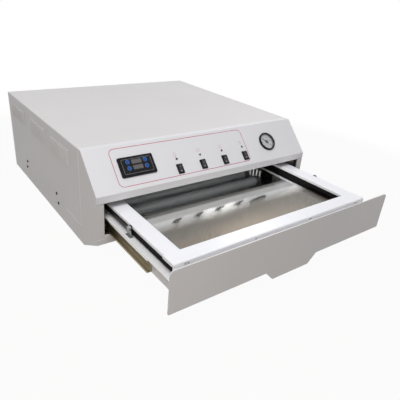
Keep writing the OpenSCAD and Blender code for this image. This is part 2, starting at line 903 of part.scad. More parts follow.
module front_bar_screws() seated() on_drawer() color("#9a9b9d")
  for (x = bar_screw_xs)
    translate([x, lid_y, bar_screw_z]) rotate([90, 0, 0])
      screw(bar_screw_r, 2.6, 1.5, 9);

// Clear pane under the seal
module glass_pane() seated() on_drawer() color("#bcd0cc", 0.5)
  block([-glass_half, lid_y + 2.9, glass_z], [glass_half, lid_back - 3.1, seal_z]);

// Black rubber ring between the glass and the rim
module rubber_seal() seated() on_drawer() color("#1d1d1f") difference() {
  block([-seal_half, lid_y + 2.4, seal_z], [seal_half, lid_back - 2.6, rim_z]);
  block([-window_half - 1, window_y + 1, seal_z - cut], [window_half + 1, window_back - 1, rim_z + cut]);
}

// Part of a hinge leaf's knuckle, along X round the hinge's axis
module knuckle(from, to) {
  translate([from, hinge_y, hinge_z]) difference() {
    x_rod(0, to - from, knuckle_r);
    x_rod(-cut, to - from + 2 * cut, hinge_pin_r + run_fit);
  }
}

third = hinge_l / 3;

// Leaves on the drawer's flange, each with two knuckles
module fixed_hinge_leaves() seated() on_drawer() color("#b4b6b8") both_sides()
  for (x = [hinge_x - hinge_l / 2, hinge_x + hinge_l / 2 - third + slack]) {
    knuckle(x, x + third - slack);
    difference() {
      union() {
        block([x, hinge_y, flange_top], [x + third - slack, hinge_y + leaf_l, flange_top + leaf_t]);
        block([x, hinge_y, flange_top], [x + third - slack, hinge_y + knuckle_r, hinge_z]);
      }
      translate([x - cut, hinge_y, hinge_z]) x_rod(0, third + 2 * cut, knuckle_r - 0.4);
      translate([x + third / 2, hinge_y + leaf_screw_y, flange_top - cut])
        cylinder(h = 4, r = leaf_screw_r);
    }
  }

// Leaves up the back of the lid's rim, each with the middle knuckle
module lid_hinge_leaves() seated() on_drawer() color("#b4b6b8") both_sides() {
  from = hinge_x - third / 2;
  knuckle(from, from + third);
  block(
    [hinge_x - hinge_l / 2, lid_back, rim_z - 1.2],
    [hinge_x + hinge_l / 2, lid_back + leaf_t, rim_top - 1.2]
  );
  difference() {
    union() {
      block([from, lid_back, hinge_z - leaf_t], [from + third, lid_back + leaf_t, rim_z]);
      block([from, lid_back, hinge_z - leaf_t], [from + third, hinge_y, hinge_z + leaf_t]);
    }
    translate([from - cut, hinge_y, hinge_z]) x_rod(0, third + 2 * cut, knuckle_r - 0.4);
  }
}

// Hinge pins with a small head at each end
module hinge_pins() seated() on_drawer() color("#8d8f92") both_sides()
  translate([hinge_x, hinge_y, hinge_z]) {
    x_rod(-hinge_l / 2 - 0.6, hinge_l + 1.2, hinge_pin_r);
    for (side = [-1, 1])
      translate([side * (hinge_l / 2 + 0.9), 0, 0]) x_rod(-0.5, 1, 2.3);
  }

// Bright brackets on the flange with the stay arms' pivots
module stay_brackets() seated() on_drawer() color("#c3c3c0") both_sides() {
  block(
    [ear_x - 2, stay_y - ear_foot.y, flange_top],
    [ear_x + ear_foot.x, stay_y + ear_foot.y, flange_top + ear_foot.z]
  );
  along_x(ear_x, ear_t) {
    translate([stay_y, stay_z]) circle(ear_h);
    polygon([
      [stay_y - ear_foot.y + 0.5, flange_top], [stay_y + ear_foot.y - 0.5, flange_top],
      [stay_y + ear_h, stay_z], [stay_y - ear_h, stay_z]
    ]);
  }
  translate([0, stay_y, stay_z]) {
    x_rod(arm_x - 0.3, ear_x - arm_x + 1, peg_r);
    x_rod(ear_x + ear_t, pivot_head.x, pivot_head.y);
  }
}

// Slotted arm between the bracket and the lid's peg
module stay_arm() {
  along_x(arm_x, arm_t) difference() {
    union() {
      translate([stay_y, stay_z]) circle(arm_eye);
      translate([stay_y, peg_z - arm_h / 2]) square([arm_l - arm_h / 2, arm_h]);
      translate([stay_y + arm_l - arm_h / 2, peg_z]) circle(arm_h / 2);
    }
    translate([stay_y, stay_z]) circle(peg_r + run_fit);
    translate([stay_y + slot_from, peg_z - peg_r - slack])
      square([slot_to - slot_from, 2 * (peg_r + slack)]);
    for (y = [slot_from, slot_to])
      translate([stay_y + y, peg_z]) circle(peg_r + slack);
  }
}

module stay_arm_left() seated() on_drawer() color("#2b2b2c") mirror([1, 0, 0]) stay_arm();

module stay_arm_right() seated() on_drawer() color("#2b2b2c") stay_arm();

// Headed pegs in the rim's lugs, running in the arms' slots
module stay_pegs() seated() on_drawer() color("#c3c3c0") both_sides()
  translate([0, peg_y, peg_z]) {
    x_rod(rim_half - sheet_t - 0.4, 0.4, 3);
    x_rod(rim_half - sheet_t, arm_x + arm_t + slack - rim_half + sheet_t, peg_r);
    x_rod(arm_x + arm_t + slack, 1.2, 3.2);
  }

function lamp_ys() = [for (i = [0:lamp_count - 1]) lamp_y + i * lamp_pitch];

// Lamp tubes without their caps
module uv_tubes() seated() color("#eef2fb")
  for (y = lamp_ys())
    translate([0, y, lamp_z]) x_rod(cap_l - tube_half, lamp_l - 2 * cap_l, lamp_r);

// Metal end caps with two pins each
module tube_caps() seated() color("#b9bcbf")
  for (y = lamp_ys())
    both_sides() translate([0, y, lamp_z]) {
      x_rod(tube_half - cap_l, cap_l, lamp_r);
      for (z = [-pin_z, pin_z])
        translate([0, 0, z]) x_rod(tube_half, pin_l, 1.2);
    }

// Lamp holders hanging from the bridge
module lamp_holders() seated() color("#f2f1ee")
  for (y = lamp_ys())
    both_sides() difference() {
      along_x(tube_half, holder_w) {
        translate([y, lamp_z]) circle(holder_half);
        translate([y - holder_half, lamp_z])
          square([2 * holder_half, bridge_top - bridge_t - lamp_z]);
      }
      for (z = [-pin_z, pin_z])
        translate([0, y, lamp_z + z]) x_rod(tube_half - cut, pin_l + cut + 0.5, 1.3);
    }

// Bright trough sheet over the tubes, folded up between them
module reflector() seated() color("#dfe2e4") {
  high = bridge_top - bridge_t;
  low = high - trough_h;
  valley = lamp_pitch / 2 - 1;
  crest = holder_half;
  path = concat(
    [for (y = lamp_ys(), q = [[-valley, low], [-crest, high], [crest, high]]) [y + q.x, q.y]],
    [[lamp_ys()[lamp_count - 1] + valley, low]]
  );
  end_gap = 8;
  along_x(end_gap - tube_half, lamp_l - 2 * end_gap) folded(path, trough_t, even(path, 0.5));
}

// Bridge across the cabinet that carries the lamps, with windows beside the louvres
module lamp_bridge() seated() color("#b9bcc0") difference() {
  path = [
    [-inner_w, channel_h], [-inner_w, bridge_top], [inner_w, bridge_top], [inner_w, channel_h]
  ];
  along_y(bridge_from, bridge_to - bridge_from) folded(path, bridge_t, even(path, bend_r));
  for (start = [for (s = louvre_starts) if (s + louvre_pitch * (louvre_count - 1) < bridge_to - 8) s])
    block(
      [-half_w, start - louvre_w - 2, louvre_z - 2],
      [half_w, start + louvre_pitch * (louvre_count - 1) + 4, bridge_top - 4]
    );
}

// Lamp ballasts on the bridge, each with a terminal block at both ends
module ballasts() seated() color("#dcdcda")
  for (side = [-1, 1], y = ballast_ys)
    translate([side * ballast_x, y, bridge_top]) {
      translate([-ballast_size.x / 2, -ballast_size.y / 2, 0]) cube(ballast_size);
      for (end = [-1, 1])
        translate([end * (ballast_size.x / 2 + 5), 0, 6])
          cube([10, ballast_size.y * 0.7, 12], center = true);
    }

// Vacuum pump: the motor lies along X, its head at the motor's right end
pump_y = rear_y - 63.8;
pump_z = 60;
mount_h = 12;
mount_r = 7;
mount_ys = [-24, 24];
mount_xs = [-44, 54];
pump_floor = sheet_t + mount_h;
plate_t = 4;
plate_half = 30;
plate_in = 10;
post_w = 10;
post_half = 14;
post_ends = [25, 15];
motor_r = 33;
motor_l = 90;
motor_end = 30;
motor_cap = 6;
fin_t = 3;
fin_pitch = 9;
fin_out = 2.5;
head_w = 48;
head_half = 26;
head_low = 32;
head_x = motor_end + head_w / 2;
valve_r = 24;
valve_h = 10;
fitting_r = 3;
fitting_y = 9;
fitting_z = head_half + valve_h + 3;

// Pump motor lying across the cabinet on its foot plate
module vacuum_pump() seated() color("#54575b") translate([0, pump_y, 0]) difference() {
  from = motor_end - motor_l;
  union() {
    translate([0, 0, pump_z]) {
      x_rod(from, motor_l, motor_r);
      x_rod(from - motor_cap, motor_cap, motor_r - motor_cap);
      for (x = [from + 6:fin_pitch:motor_end - 10]) x_rod(x, fin_t, motor_r + fin_out);
    }
    block(
      [from + plate_in, -plate_half, pump_floor],
      [motor_end + plate_half, plate_half, pump_floor + plate_t]
    );
    for (x = [from + post_ends[0], motor_end - post_ends[1]])
      block(
        [x - post_w / 2, -post_half, pump_floor + plate_t - 1],
        [x + post_w / 2, post_half, pump_z - motor_r + motor_cap]
      );
  }
  for (x = mount_xs, y = mount_ys)
    translate([x, y, pump_floor - cut]) cylinder(h = plate_t + 2 * cut, r = 2.5);
}

// Pump head with its valve cover and screws
module pump_head() seated() color("#c4c7c9") translate([head_x, pump_y, pump_z]) difference() {
  union() {
    block([-head_w / 2, -head_half, -head_low], [head_w / 2, head_half, head_half]);
    translate([0, 0, head_half]) cylinder(h = valve_h, r = valve_r);
    translate([0, 0, head_half + valve_h]) cylinder(h = 3, r = valve_r - 4);
    for (a = [45:90:315])
      rotate(a) translate([valve_r - 5, 0, head_half + valve_h]) cylinder(h = 4.5, r = 2.5);
  }
  for (y = [-fitting_y, fitting_y])
    translate([0, y, fitting_z - 5]) cylinder(h = 6, r = fitting_r + run_fit);
}

// Rubber mounts between the pump and the floor
module pump_mounts() seated() color("#232323") translate([0, pump_y, 0])
  for (x = mount_xs, y = mount_ys)
    translate([x, y, sheet_t]) difference() {
      cylinder(h = mount_h, r = mount_r);
      translate([0, 0, mount_h - 3]) cylinder(h = 4, r = 2.5);
    }

// Barbed hose fitting standing on Z = 0
module barb() {
  difference() {
    union() {
      translate([0, 0, -4]) cylinder(h = 4, r = fitting_r);
      cylinder(h = 3, r = 5);
      translate([0, 0, 3]) cylinder(h = 12, r = 2.6);
      for (z = [5, 8.5, 12]) translate([0, 0, z]) cylinder(h = 2.6, r1 = 3.5, r2 = 2.6);
    }
    translate([0, 0, -5]) cylinder(h = 22, r = 1.5);
  }
}

// Brass fittings on the pump head
module hose_fittings() seated() color("#b08d3c") translate([head_x, pump_y, pump_z + fitting_z])
  for (y = [-fitting_y, fitting_y]) translate([0, y, 0]) barb();

// Suction fitting under the tray, with its flange against the tray's underside
module drawer_fitting() seated() on_drawer() color("#b08d3c")
  translate([port_place.x, port_place.y, tray_floor - tray_t]) difference() {
    union() {
      translate([0, 0, -3]) cylinder(h = 3, r = 8);
      translate([0, 0, -9]) cylinder(h = 6, r = 5);
      translate([0, -20, -6]) rotate([-90, 0, 0]) cylinder(h = 20, r = 2.6);
    }
    translate([0, 0, -6]) cylinder(h = 7, r = port_r - 1.5);
    translate([0, -21, -6]) rotate([-90, 0, 0]) cylinder(h = 21, r = 1.5);
  }

button_places = [
  for (sy = [1, -1], sx = [-1, 1]) [timer_x + sx * button_dx, button_s + sy * button_ds]
];
display_places = [[timer_x + 0.3, timer_s + 8.9], [timer_x + 0.5, timer_s - 3.3]];

// Timer: bezel on the slope with a raised field, and the case behind it
module timer_case() seated() color("#1e1f21") difference() {
  on_slope(timer_x, timer_s) {
    linear_extrude(timer_out - 1) rounded(timer_w, timer_h, 3);
    translate([0, 0, timer_out - 1]) linear_extrude(1) rounded(timer_w - 8, timer_h - 6, 2);
    translate([0, 0, -timer_depth / 2]) cube([timer_body.x, timer_body.y, timer_depth], center = true);
  }
  for (p = display_places)
    on_slope(p.x, p.y) translate([0, 0, timer_out - 1.2])
      linear_extrude(3) square([display_w + 0.2, display_h + 0.2], center = true);
  for (p = button_places)
    on_slope(p.x, p.y) translate([0, 0, timer_out - 4])
      cylinder(h = 6, r = button_r + slack);
}

// Display windows of the timer
module timer_displays() seated() color("#8f9791")
  for (p = display_places)
    on_slope(p.x, p.y) translate([0, 0, timer_out - 1.2])
      linear_extrude(0.7) square([display_w, display_h], center = true);

// Round push button with a domed edge
module timer_button(i) {
  place = button_places[i];
  seated() color("#2f7fd0") on_slope(place.x, place.y)
    translate([0, 0, timer_out - 4 + button_stroke + 0.1]) {
      cylinder(h = 3.4, r = button_r);
      translate([0, 0, 3.4]) cylinder(h = 0.6, r1 = button_r, r2 = button_r - 0.6);
    }
}

module timer_button_1() timer_button(0);
module timer_button_2() timer_button(1);
module timer_button_3() timer_button(2);
module timer_button_4() timer_button(3);

paddle_w = rocker_w - 4.6;
stub_r = 1;

// Housings of the rocker switches: bezel, body and a deep well for the paddle
module rocker_housings() seated() color("#17181a")
  for (x = rocker_xs)
    on_slope(x, rocker_s) difference() {
      union() {
        linear_extrude(rocker_bezel) rounded(rocker_w, rocker_h, 1);
        translate([0, 0, -rocker_depth / 2])
          cube([rocker_w - 2, rocker_h - 2, rocker_depth], center = true);
      }
      block(
        [-paddle_w / 2 - slack, -paddle_r - slack, -rocker_depth + 2],
        [paddle_w / 2 + slack, paddle_r + slack, rocker_bezel + cut]
      );
      x_rod(-paddle_w / 2 - 1.2, paddle_w + 2.4, stub_r + run_fit);
    }

// Rocker paddle: two faces in a shallow V, tipped so that its lower half is pressed
module rocker(i) {
  rise = paddle_r * tan(rocker_tilt);
  seated() color("#1b1c1e") on_slope(rocker_xs[i], rocker_s) rotate([rocker_tilt, 0, 0]) {
    along_x(-paddle_w / 2, paddle_w) intersection() {
      circle(paddle_r);
      polygon([
        [-paddle_r, -4], [paddle_r, -4], [paddle_r, rocker_bezel + 0.6 + rise],
        [0, rocker_bezel + 0.6], [-paddle_r, rocker_bezel + 0.6 + rise]
      ]);
    }
    x_rod(-paddle_w / 2 - 1, paddle_w + 2, stub_r);
  }
}

module rocker_1() rocker(0);
module rocker_2() rocker(1);
module rocker_3() rocker(2);
module rocker_4() rocker(3);

// Blade terminals behind the switches
module rocker_terminals() seated() color("#b9a15a")
  for (x = rocker_xs, i = [-1:1])
    on_slope(x, rocker_s + i * terminal_pitch)
      block(
        [-terminal.x / 2, -terminal.y / 2, -rocker_depth - terminal.z],
        [terminal.x / 2, terminal.y / 2, -rocker_depth]
      );

// Small domed indicators above the switches
module indicator_lamps() seated() color("#2b2224")
  for (x = rocker_xs)
    on_slope(x, indicator_s) {
      translate([0, 0, -9]) cylinder(h = 9, r = 2);
      cylinder(h = 0.6, r = 2.7);
      intersection() {
        translate([0, 0, 0.6]) cylinder(h = 2, r = 2.1);
        translate([0, 0, -0.6]) sphere(2.4);
      }
    }

// Gauge: bezel ring, case and the stub for its hose
module gauge_case() seated() color("#1c1d1f") on_slope(gauge_x, gauge_s) difference() {
  union() {
    cylinder(h = gauge_out - 1.5, r = gauge_r);
    translate([0, 0, gauge_out - 1.5]) cylinder(h = 1.5, r1 = gauge_r, r2 = gauge_r - 1.2);
    translate([0, 0, -gauge_depth]) cylinder(h = gauge_depth, r = gauge_body_r);
    translate([0, 0, -gauge_depth - 7]) cylinder(h = 7, r = 3);
  }
  translate([0, 0, -2]) cylinder(h = gauge_out + 3, r = gauge_r - 3.6);
  translate([0, 0, gauge_out - 1.9]) cylinder(h = 4, r = gauge_r - 2.4);
}

// Dial plate with a raised ring of division marks
module gauge_dial() seated() color("#e9e9e4") on_slope(gauge_x, gauge_s) translate([0, 0, -2]) {
  cylinder(h = 1.2, r = gauge_r - 3.7);
  for (a = [-45:27:225])
    rotate(a) translate([gauge_r - 7, 0, 1.2])
      translate([-1.4, -0.35, -0.3]) cube([2.8, 0.7, 0.45]);
}

needle_rest = 135;

// Needle with its round hub
module gauge_needle() seated() color("#202225") on_slope(gauge_x, gauge_s) translate([0, 0, -0.3]) {
  cylinder(h = 2.4, r = 3.4);
  linear_extrude(0.8) rotate(needle_rest)
    polygon([[-7, -0.9], [0, -1.2], [gauge_r - 8, -0.25], [gauge_r - 8, 0.25], [0, 1.2], [-7, 0.9]]);
}

// Clear window in the gauge's bezel
module gauge_lens() seated() color("#dfe7ea", 0.4) on_slope(gauge_x, gauge_s)
  translate([0, 0, gauge_out - 1.9]) cylinder(h = 1.2, r = gauge_r - 2.5);

inlet_x = half_w - 85;
inlet_z = 40;
inlet_w = 27;
inlet_h = 20;

// Power inlet: flange, body and socket with its three pins
module power_inlet() seated() color("#1a1a1b") translate([inlet_x, cabinet_d, inlet_z]) difference() {
  union() {
    along_y(0, inlet_out) rounded(inlet_w + 20, inlet_h + 3, 3);
    block([-inlet_w / 2, -18, -inlet_h / 2], [inlet_w / 2, 0, inlet_h / 2]);
  }
  difference() {
    block([-11, -13, -7], [11, inlet_out + cut, 7]);
    for (x = [-6, 0, 6])
      translate([x, 0, x == 0 ? 2 : -2]) block([-1, -14, -2], [1, -1, 2]);
  }
}

chassis();
control_panel();
top_cover();
rear_panel();
feet();
cover_screws();
slide_channels();
cabinet_rails();
cabinet_rail_screws();
drawer_rails();
drawer_rail_screws();
ball_cage_left();
ball_cage_right();
drawer_box();
tray_pan();
fascia();
fascia_nuts();
lid_rim();
lid_core();
front_bar();
front_bar_screws();
glass_pane();
rubber_seal();
fixed_hinge_leaves();
lid_hinge_leaves();
hinge_pins();
stay_brackets();
stay_arm_left();
stay_arm_right();
stay_pegs();
uv_tubes();
tube_caps();
lamp_holders();
reflector();
lamp_bridge();
ballasts();
vacuum_pump();
pump_head();
pump_mounts();
hose_fittings();
drawer_fitting();
timer_case();
timer_displays();
timer_button_1();
timer_button_2();
timer_button_3();
timer_button_4();
rocker_housings();
rocker_1();
rocker_2();
rocker_3();
rocker_4();
rocker_terminals();
indicator_lamps();
gauge_case();
gauge_dial();
gauge_needle();
gauge_lens();
power_inlet();
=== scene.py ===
"""Looks of a screen printing exposure unit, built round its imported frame.

The frame brings every solid in its place. This script gives each one a finish worked from nodes,
adds the small printed and moulded details, and sets up a plain studio with the camera.
Lengths are in metres. Angles are in degrees, but a grain's turn and the camera's are in radians.
"""

import logging
import math
from dataclasses import dataclass, field
from enum import Enum
from typing import Optional, Sequence, Union

import bmesh
import bpy
from mathutils import Matrix, Quaternion, Vector


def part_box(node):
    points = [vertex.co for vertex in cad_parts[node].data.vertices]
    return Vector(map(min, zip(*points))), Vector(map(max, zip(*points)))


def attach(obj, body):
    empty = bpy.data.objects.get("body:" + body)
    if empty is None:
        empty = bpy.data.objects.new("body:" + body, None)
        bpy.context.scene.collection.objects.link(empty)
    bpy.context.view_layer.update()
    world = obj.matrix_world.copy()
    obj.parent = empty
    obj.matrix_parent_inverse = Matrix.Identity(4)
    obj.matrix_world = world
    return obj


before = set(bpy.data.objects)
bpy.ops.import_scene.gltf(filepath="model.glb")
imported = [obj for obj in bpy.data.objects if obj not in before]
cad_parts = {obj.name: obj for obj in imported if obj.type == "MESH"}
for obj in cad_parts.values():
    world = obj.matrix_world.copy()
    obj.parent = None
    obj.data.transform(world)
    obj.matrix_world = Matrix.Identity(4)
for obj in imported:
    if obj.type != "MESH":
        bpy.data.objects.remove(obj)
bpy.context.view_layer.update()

log = logging.getLogger("exposure_unit")

Tone = tuple[float, float, float]
Point2 = tuple[float, float]
Point3 = tuple[float, float, float]

# Each side's name and its sign along X
SIDES = (("left", -1.0), ("right", 1.0))

# How far a printed mark reaches into the face under it
SUNK = 0.0001


def scaled(tone: Tone, by: float) -> Tone:
    """A colour made darker or lighter by a factor."""
    return tuple(c * by for c in tone)


class Shade:
    """A value in a shader: a wrapped socket whose operators add Math nodes."""

    def __init__(self, bench: "Bench", socket: bpy.types.NodeSocket) -> None:
        """Wraps an output socket; new nodes go onto its bench."""
        self.bench = bench
        self.socket = socket

    def _math(self, operation: str, first: object, second: object = None) -> "Shade":
        """The result of one new Math node, whose second input may be left out."""
        inputs = {0: first} if second is None else {0: first, 1: second}
        return self.bench.value("ShaderNodeMath", {"operation": operation}, inputs)

    def __add__(self, other: object) -> "Shade":
        """Sum, with a number on either side."""
        return self._math("ADD", self, other)

    __radd__ = __add__

    def __sub__(self, other: object) -> "Shade":
        """Difference."""
        return self._math("SUBTRACT", self, other)

    def __rsub__(self, other: object) -> "Shade":
        """Difference from a number on the left."""
        return self._math("SUBTRACT", other, self)

    def __mul__(self, other: object) -> "Shade":
        """Product, with a number on either side."""
        return self._math("MULTIPLY", self, other)

    __rmul__ = __mul__

    def __truediv__(self, other: object) -> "Shade":
        """Quotient."""
        return self._math("DIVIDE", self, other)

    def __pow__(self, other: object) -> "Shade":
        """Power."""
        return self._math("POWER", self, other)

    def __abs__(self) -> "Shade":
        """Size without its sign."""
        return self._math("ABSOLUTE", self)

    def below(self, other: object) -> "Shade":
        """One where this value is less than the other, else zero."""
        return self._math("LESS_THAN", self, other)

    def above(self, other: object) -> "Shade":
        """One where this value is more than the other, else zero."""
        return self._math("GREATER_THAN", self, other)

    def most(self, other: object) -> "Shade":
        """The larger of the two values."""
        return self._math("MAXIMUM", self, other)

    def least(self, other: object) -> "Shade":
        """The smaller of the two values."""
        return self._math("MINIMUM", self, other)

    def root(self) -> "Shade":
        """Square root."""
        return self._math("SQRT", self)

    def ramp(self, start: float, full: float) -> "Shade":
        """Zero up to the start, one from full on, and straight between them."""
        return ((self - start) / (full - start)).most(0.0).least(1.0)


class Bench:
    """The node tree of a material or world with short ways to add nodes to it."""

    def __init__(self, owner: Union[bpy.types.Material, bpy.types.World]) -> None:
        """Empties the node tree of its owner.

        Args:
            owner: the material or world that the nodes are for.
        """
        owner.use_nodes = True
        self.owner = owner
        self.tree = owner.node_tree
        self.tree.nodes.clear()

    def node(
        self, kind: str, settings: Optional[dict] = None, inputs: Optional[dict] = None
    ) -> bpy.types.Node:
        """Adds any node.

        Args:
            kind: the node's type.
            settings: its settings, set before its sockets.
            inputs: the values or links of its sockets, by name or number.

        Returns:
            The new node.
        """
        new = self.tree.nodes.new(kind)
        for key, setting in (settings or {}).items():
            setattr(new, key, setting)
        for key, given in (inputs or {}).items():
            socket = new.inputs[key]
            if isinstance(given, Shade):
                self.tree.links.new(given.socket, socket)
            elif isinstance(given, bpy.types.NodeSocket):
                self.tree.links.new(given, socket)
            elif isinstance(given, tuple) and socket.type == "RGBA" and len(given) == 3:
                socket.default_value = (*given, 1.0)
            else:
                socket.default_value = given
        return new

    def value(
        self, kind: str, settings: Optional[dict] = None, inputs: Optional[dict] = None,
        output: Union[int, str] = 0,
    ) -> Shade:
        """Adds a node as node() does and gives one of its outputs as a value."""
        return Shade(self, self.node(kind, settings, inputs).outputs[output])

    def place(self) -> Shade:
        """Position on the object, in metres."""
        return self.value("ShaderNodeTexCoord", None, None, "Object")

    def facing(self) -> Shade:
        """How flatly the surface is seen: 0 straight on and 1 along it."""
        return self.value("ShaderNodeLayerWeight", None, {"Blend": 0.5}, "Facing")

    def shown(self) -> Shade:
        """One for what the camera sees, also in a mirror or through glass.

        Returns:
            One there, else zero.
        """
        path = self.node("ShaderNodeLightPath")
        camera, glossy, passed = (
            Shade(self, path.outputs[f"Is {kind} Ray"]) for kind in ("Camera", "Glossy", "Transmission")
        )
        return (camera + glossy + passed).least(1.0)

    def parts(self, vector: Shade) -> tuple[Shade, Shade, Shade]:
        """X, Y and Z of a vector."""
        split = self.node("ShaderNodeSeparateXYZ", None, {0: vector})
        return tuple(Shade(self, socket) for socket in split.outputs)

    def stretched(self, vector: Shade, by: Point3) -> Shade:
        """A vector multiplied part by part."""
        return self.value(
            "ShaderNodeVectorMath", {"operation": "MULTIPLY"}, {0: vector, 1: by}
        )

    def turned(self, vector: Shade, angle: float) -> Shade:
        """A vector turned about Z, by an angle in radians."""
        return self.value(
            "ShaderNodeVectorRotate", {"rotation_type": "Z_AXIS"}, {"Vector": vector, "Angle": angle}
        )

    def noise(self, vector: Shade, scale: float, detail: float = 2.0, rough: float = 0.5) -> Shade:
        """Cloudy noise from 0 to 1, with its scale in cycles in a metre."""
        return self.value(
            "ShaderNodeTexNoise", None,
            {"Vector": vector, "Scale": scale, "Detail": detail, "Roughness": rough}, "Fac",
        )

    def blend(self, amount: object, first: object, second: object) -> Shade:
        """Mixes two colours: an amount of 0 gives the first and 1 the second."""
        mix = self.node("ShaderNodeMix", {"data_type": "RGBA"}, {"Factor": amount, 6: first, 7: second})
        return Shade(self, mix.outputs[2])

    def bump(self, height: Shade, strength: float, depth: float) -> Shade:
        """A normal bent by a height from 0 to 1, whose whole depth is in metres."""
        return self.value(
            "ShaderNodeBump", None, {"Height": height, "Strength": strength, "Distance": depth}, "Normal"
        )

    def surface(self, **inputs: object) -> bpy.types.Node:
        """Adds the principled shader; underscores stand for the spaces in its sockets' names."""
        return self.node(
            "ShaderNodeBsdfPrincipled", None, {key.replace("_", " "): v for key, v in inputs.items()}
        )

    def finish(self, shader: bpy.types.Node) -> Union[bpy.types.Material, bpy.types.World]:
        """Ends the tree with a shader.

        Args:
            shader: the node whose first output is the surface.

        Returns:
            The finished material or world.
        """
        is_world = isinstance(self.owner, bpy.types.World)
        end = self.tree.nodes.new("ShaderNodeOutputWorld" if is_world else "ShaderNodeOutputMaterial")
        self.tree.links.new(shader.outputs[0], end.inputs["Surface"])
        return self.owner

    def plain(self, **inputs: object) -> bpy.types.Material:
        """Ends the tree with one principled shader."""
        return self.finish(self.surface(**inputs))

    def mixed(
        self, share: Shade, first: bpy.types.Node, second: bpy.types.Node
    ) -> Union[bpy.types.Material, bpy.types.World]:
        """Ends the tree with two mixed shaders: a share of 0 gives the first and 1 the second."""
        return self.finish(
            self.node("ShaderNodeMixShader", None, {0: share, 1: first.outputs[0], 2: second.outputs[0]})
        )


class Grain(Enum):
    """Which way a brushed metal's lines run, as cycles in a metre along each axis."""

    ACROSS = (14.0, 900.0, 900.0)
    ALONG = (900.0, 14.0, 900.0)
    COARSE = (420.0, 9.0, 420.0)


@dataclass(frozen=True)
class Finish:
    """A surface finish that makes its own material."""

    name: str
    tone: Tone

    def material(self) -> bpy.types.Material:
        """The finish's material, made once.

        Returns:
            The material.
        """
        name = f"finish_{self.name}"
        made = bpy.data.materials.get(name)
        return made if made else self.make(Bench(bpy.data.materials.new(name)))

    def make(self, bench: Bench) -> bpy.types.Material:
        """Builds the material on an empty bench, in each finish's own way."""
        raise NotImplementedError


@dataclass(frozen=True)
class PowderCoat(Finish):
    """Baked powder paint: a fine orange peel, faint clouds and a little dust."""

    rough: float = 0.36
    peel: float = 0.10
    dust: float = 0.05
    cloud_scale: float = 7.0
    peel_scale: float = 1500.0
    speck_scale: float = 420.0
    speck_limit: float = 0.73
    peel_depth: float = 0.0004

    def paint(self, bench: Bench) -> tuple[Shade, Shade, Shade]:
        """The paint's colour, roughness and normal.

        Args:
            bench: the node tree.

        Returns:
            Colour, roughness and normal.
        """
        where = bench.place()
        cloud = bench.noise(where, self.cloud_scale, 3.0)
        peel = bench.noise(where, self.peel_scale, 2.0)
        speck = bench.noise(where, self.speck_scale, 1.0, 0.3).above(self.speck_limit)
        colour = bench.blend(cloud, self.tone, scaled(self.tone, 0.955))
        colour = bench.blend(speck * self.dust, colour, scaled(self.tone, 0.72))
        rough = self.rough + (cloud - 0.5) * 0.10 + (peel - 0.5) * 0.08
        return colour, rough, bench.bump(peel, self.peel, self.peel_depth)

    def make(self, bench: Bench) -> bpy.types.Material:
        """Builds the painted material."""
        colour, rough, normal = self.paint(bench)
        return bench.plain(Base_Color=colour, Roughness=rough, Normal=normal, IOR=1.5)


@dataclass(frozen=True)
class InsideShadedCoat(PowderCoat):
    """Powder paint outside, and near-black painted shade on the cabinet's inner faces.

    The painted shade begins inside half_width from the middle, behind front and below top.
    """

    half_width: float = 0.2825
    front: float = -0.162
    top: float = 0.139
    inside_shade: Tone = (0.05, 0.05, 0.048)

    def make(self, bench: Bench) -> bpy.types.Material:
        """Builds the painted material with its painted inside shade.

        Args:
            bench: the empty node tree.

        Returns:
            The finished material.
        """
        colour, rough, normal = self.paint(bench)
        x, y, z = bench.parts(bench.place())
        # Mask of the cabinet's inner faces, where near-black painted shade stands in for the unlit
        # inside.
        within = abs(x).below(self.half_width)
        inner = within * y.above(self.front) * z.below(self.top)
        shaded = bench.blend(inner, colour, self.inside_shade)
        return bench.plain(Base_Color=shaded, Roughness=rough, Normal=normal, IOR=1.5)


@dataclass(frozen=True)
class Outline:
    """A rounded rectangle printed on the slope; line is half the width of its line."""

    left: float
    right: float
    low: float
    high: float
    corner: float
    line: float


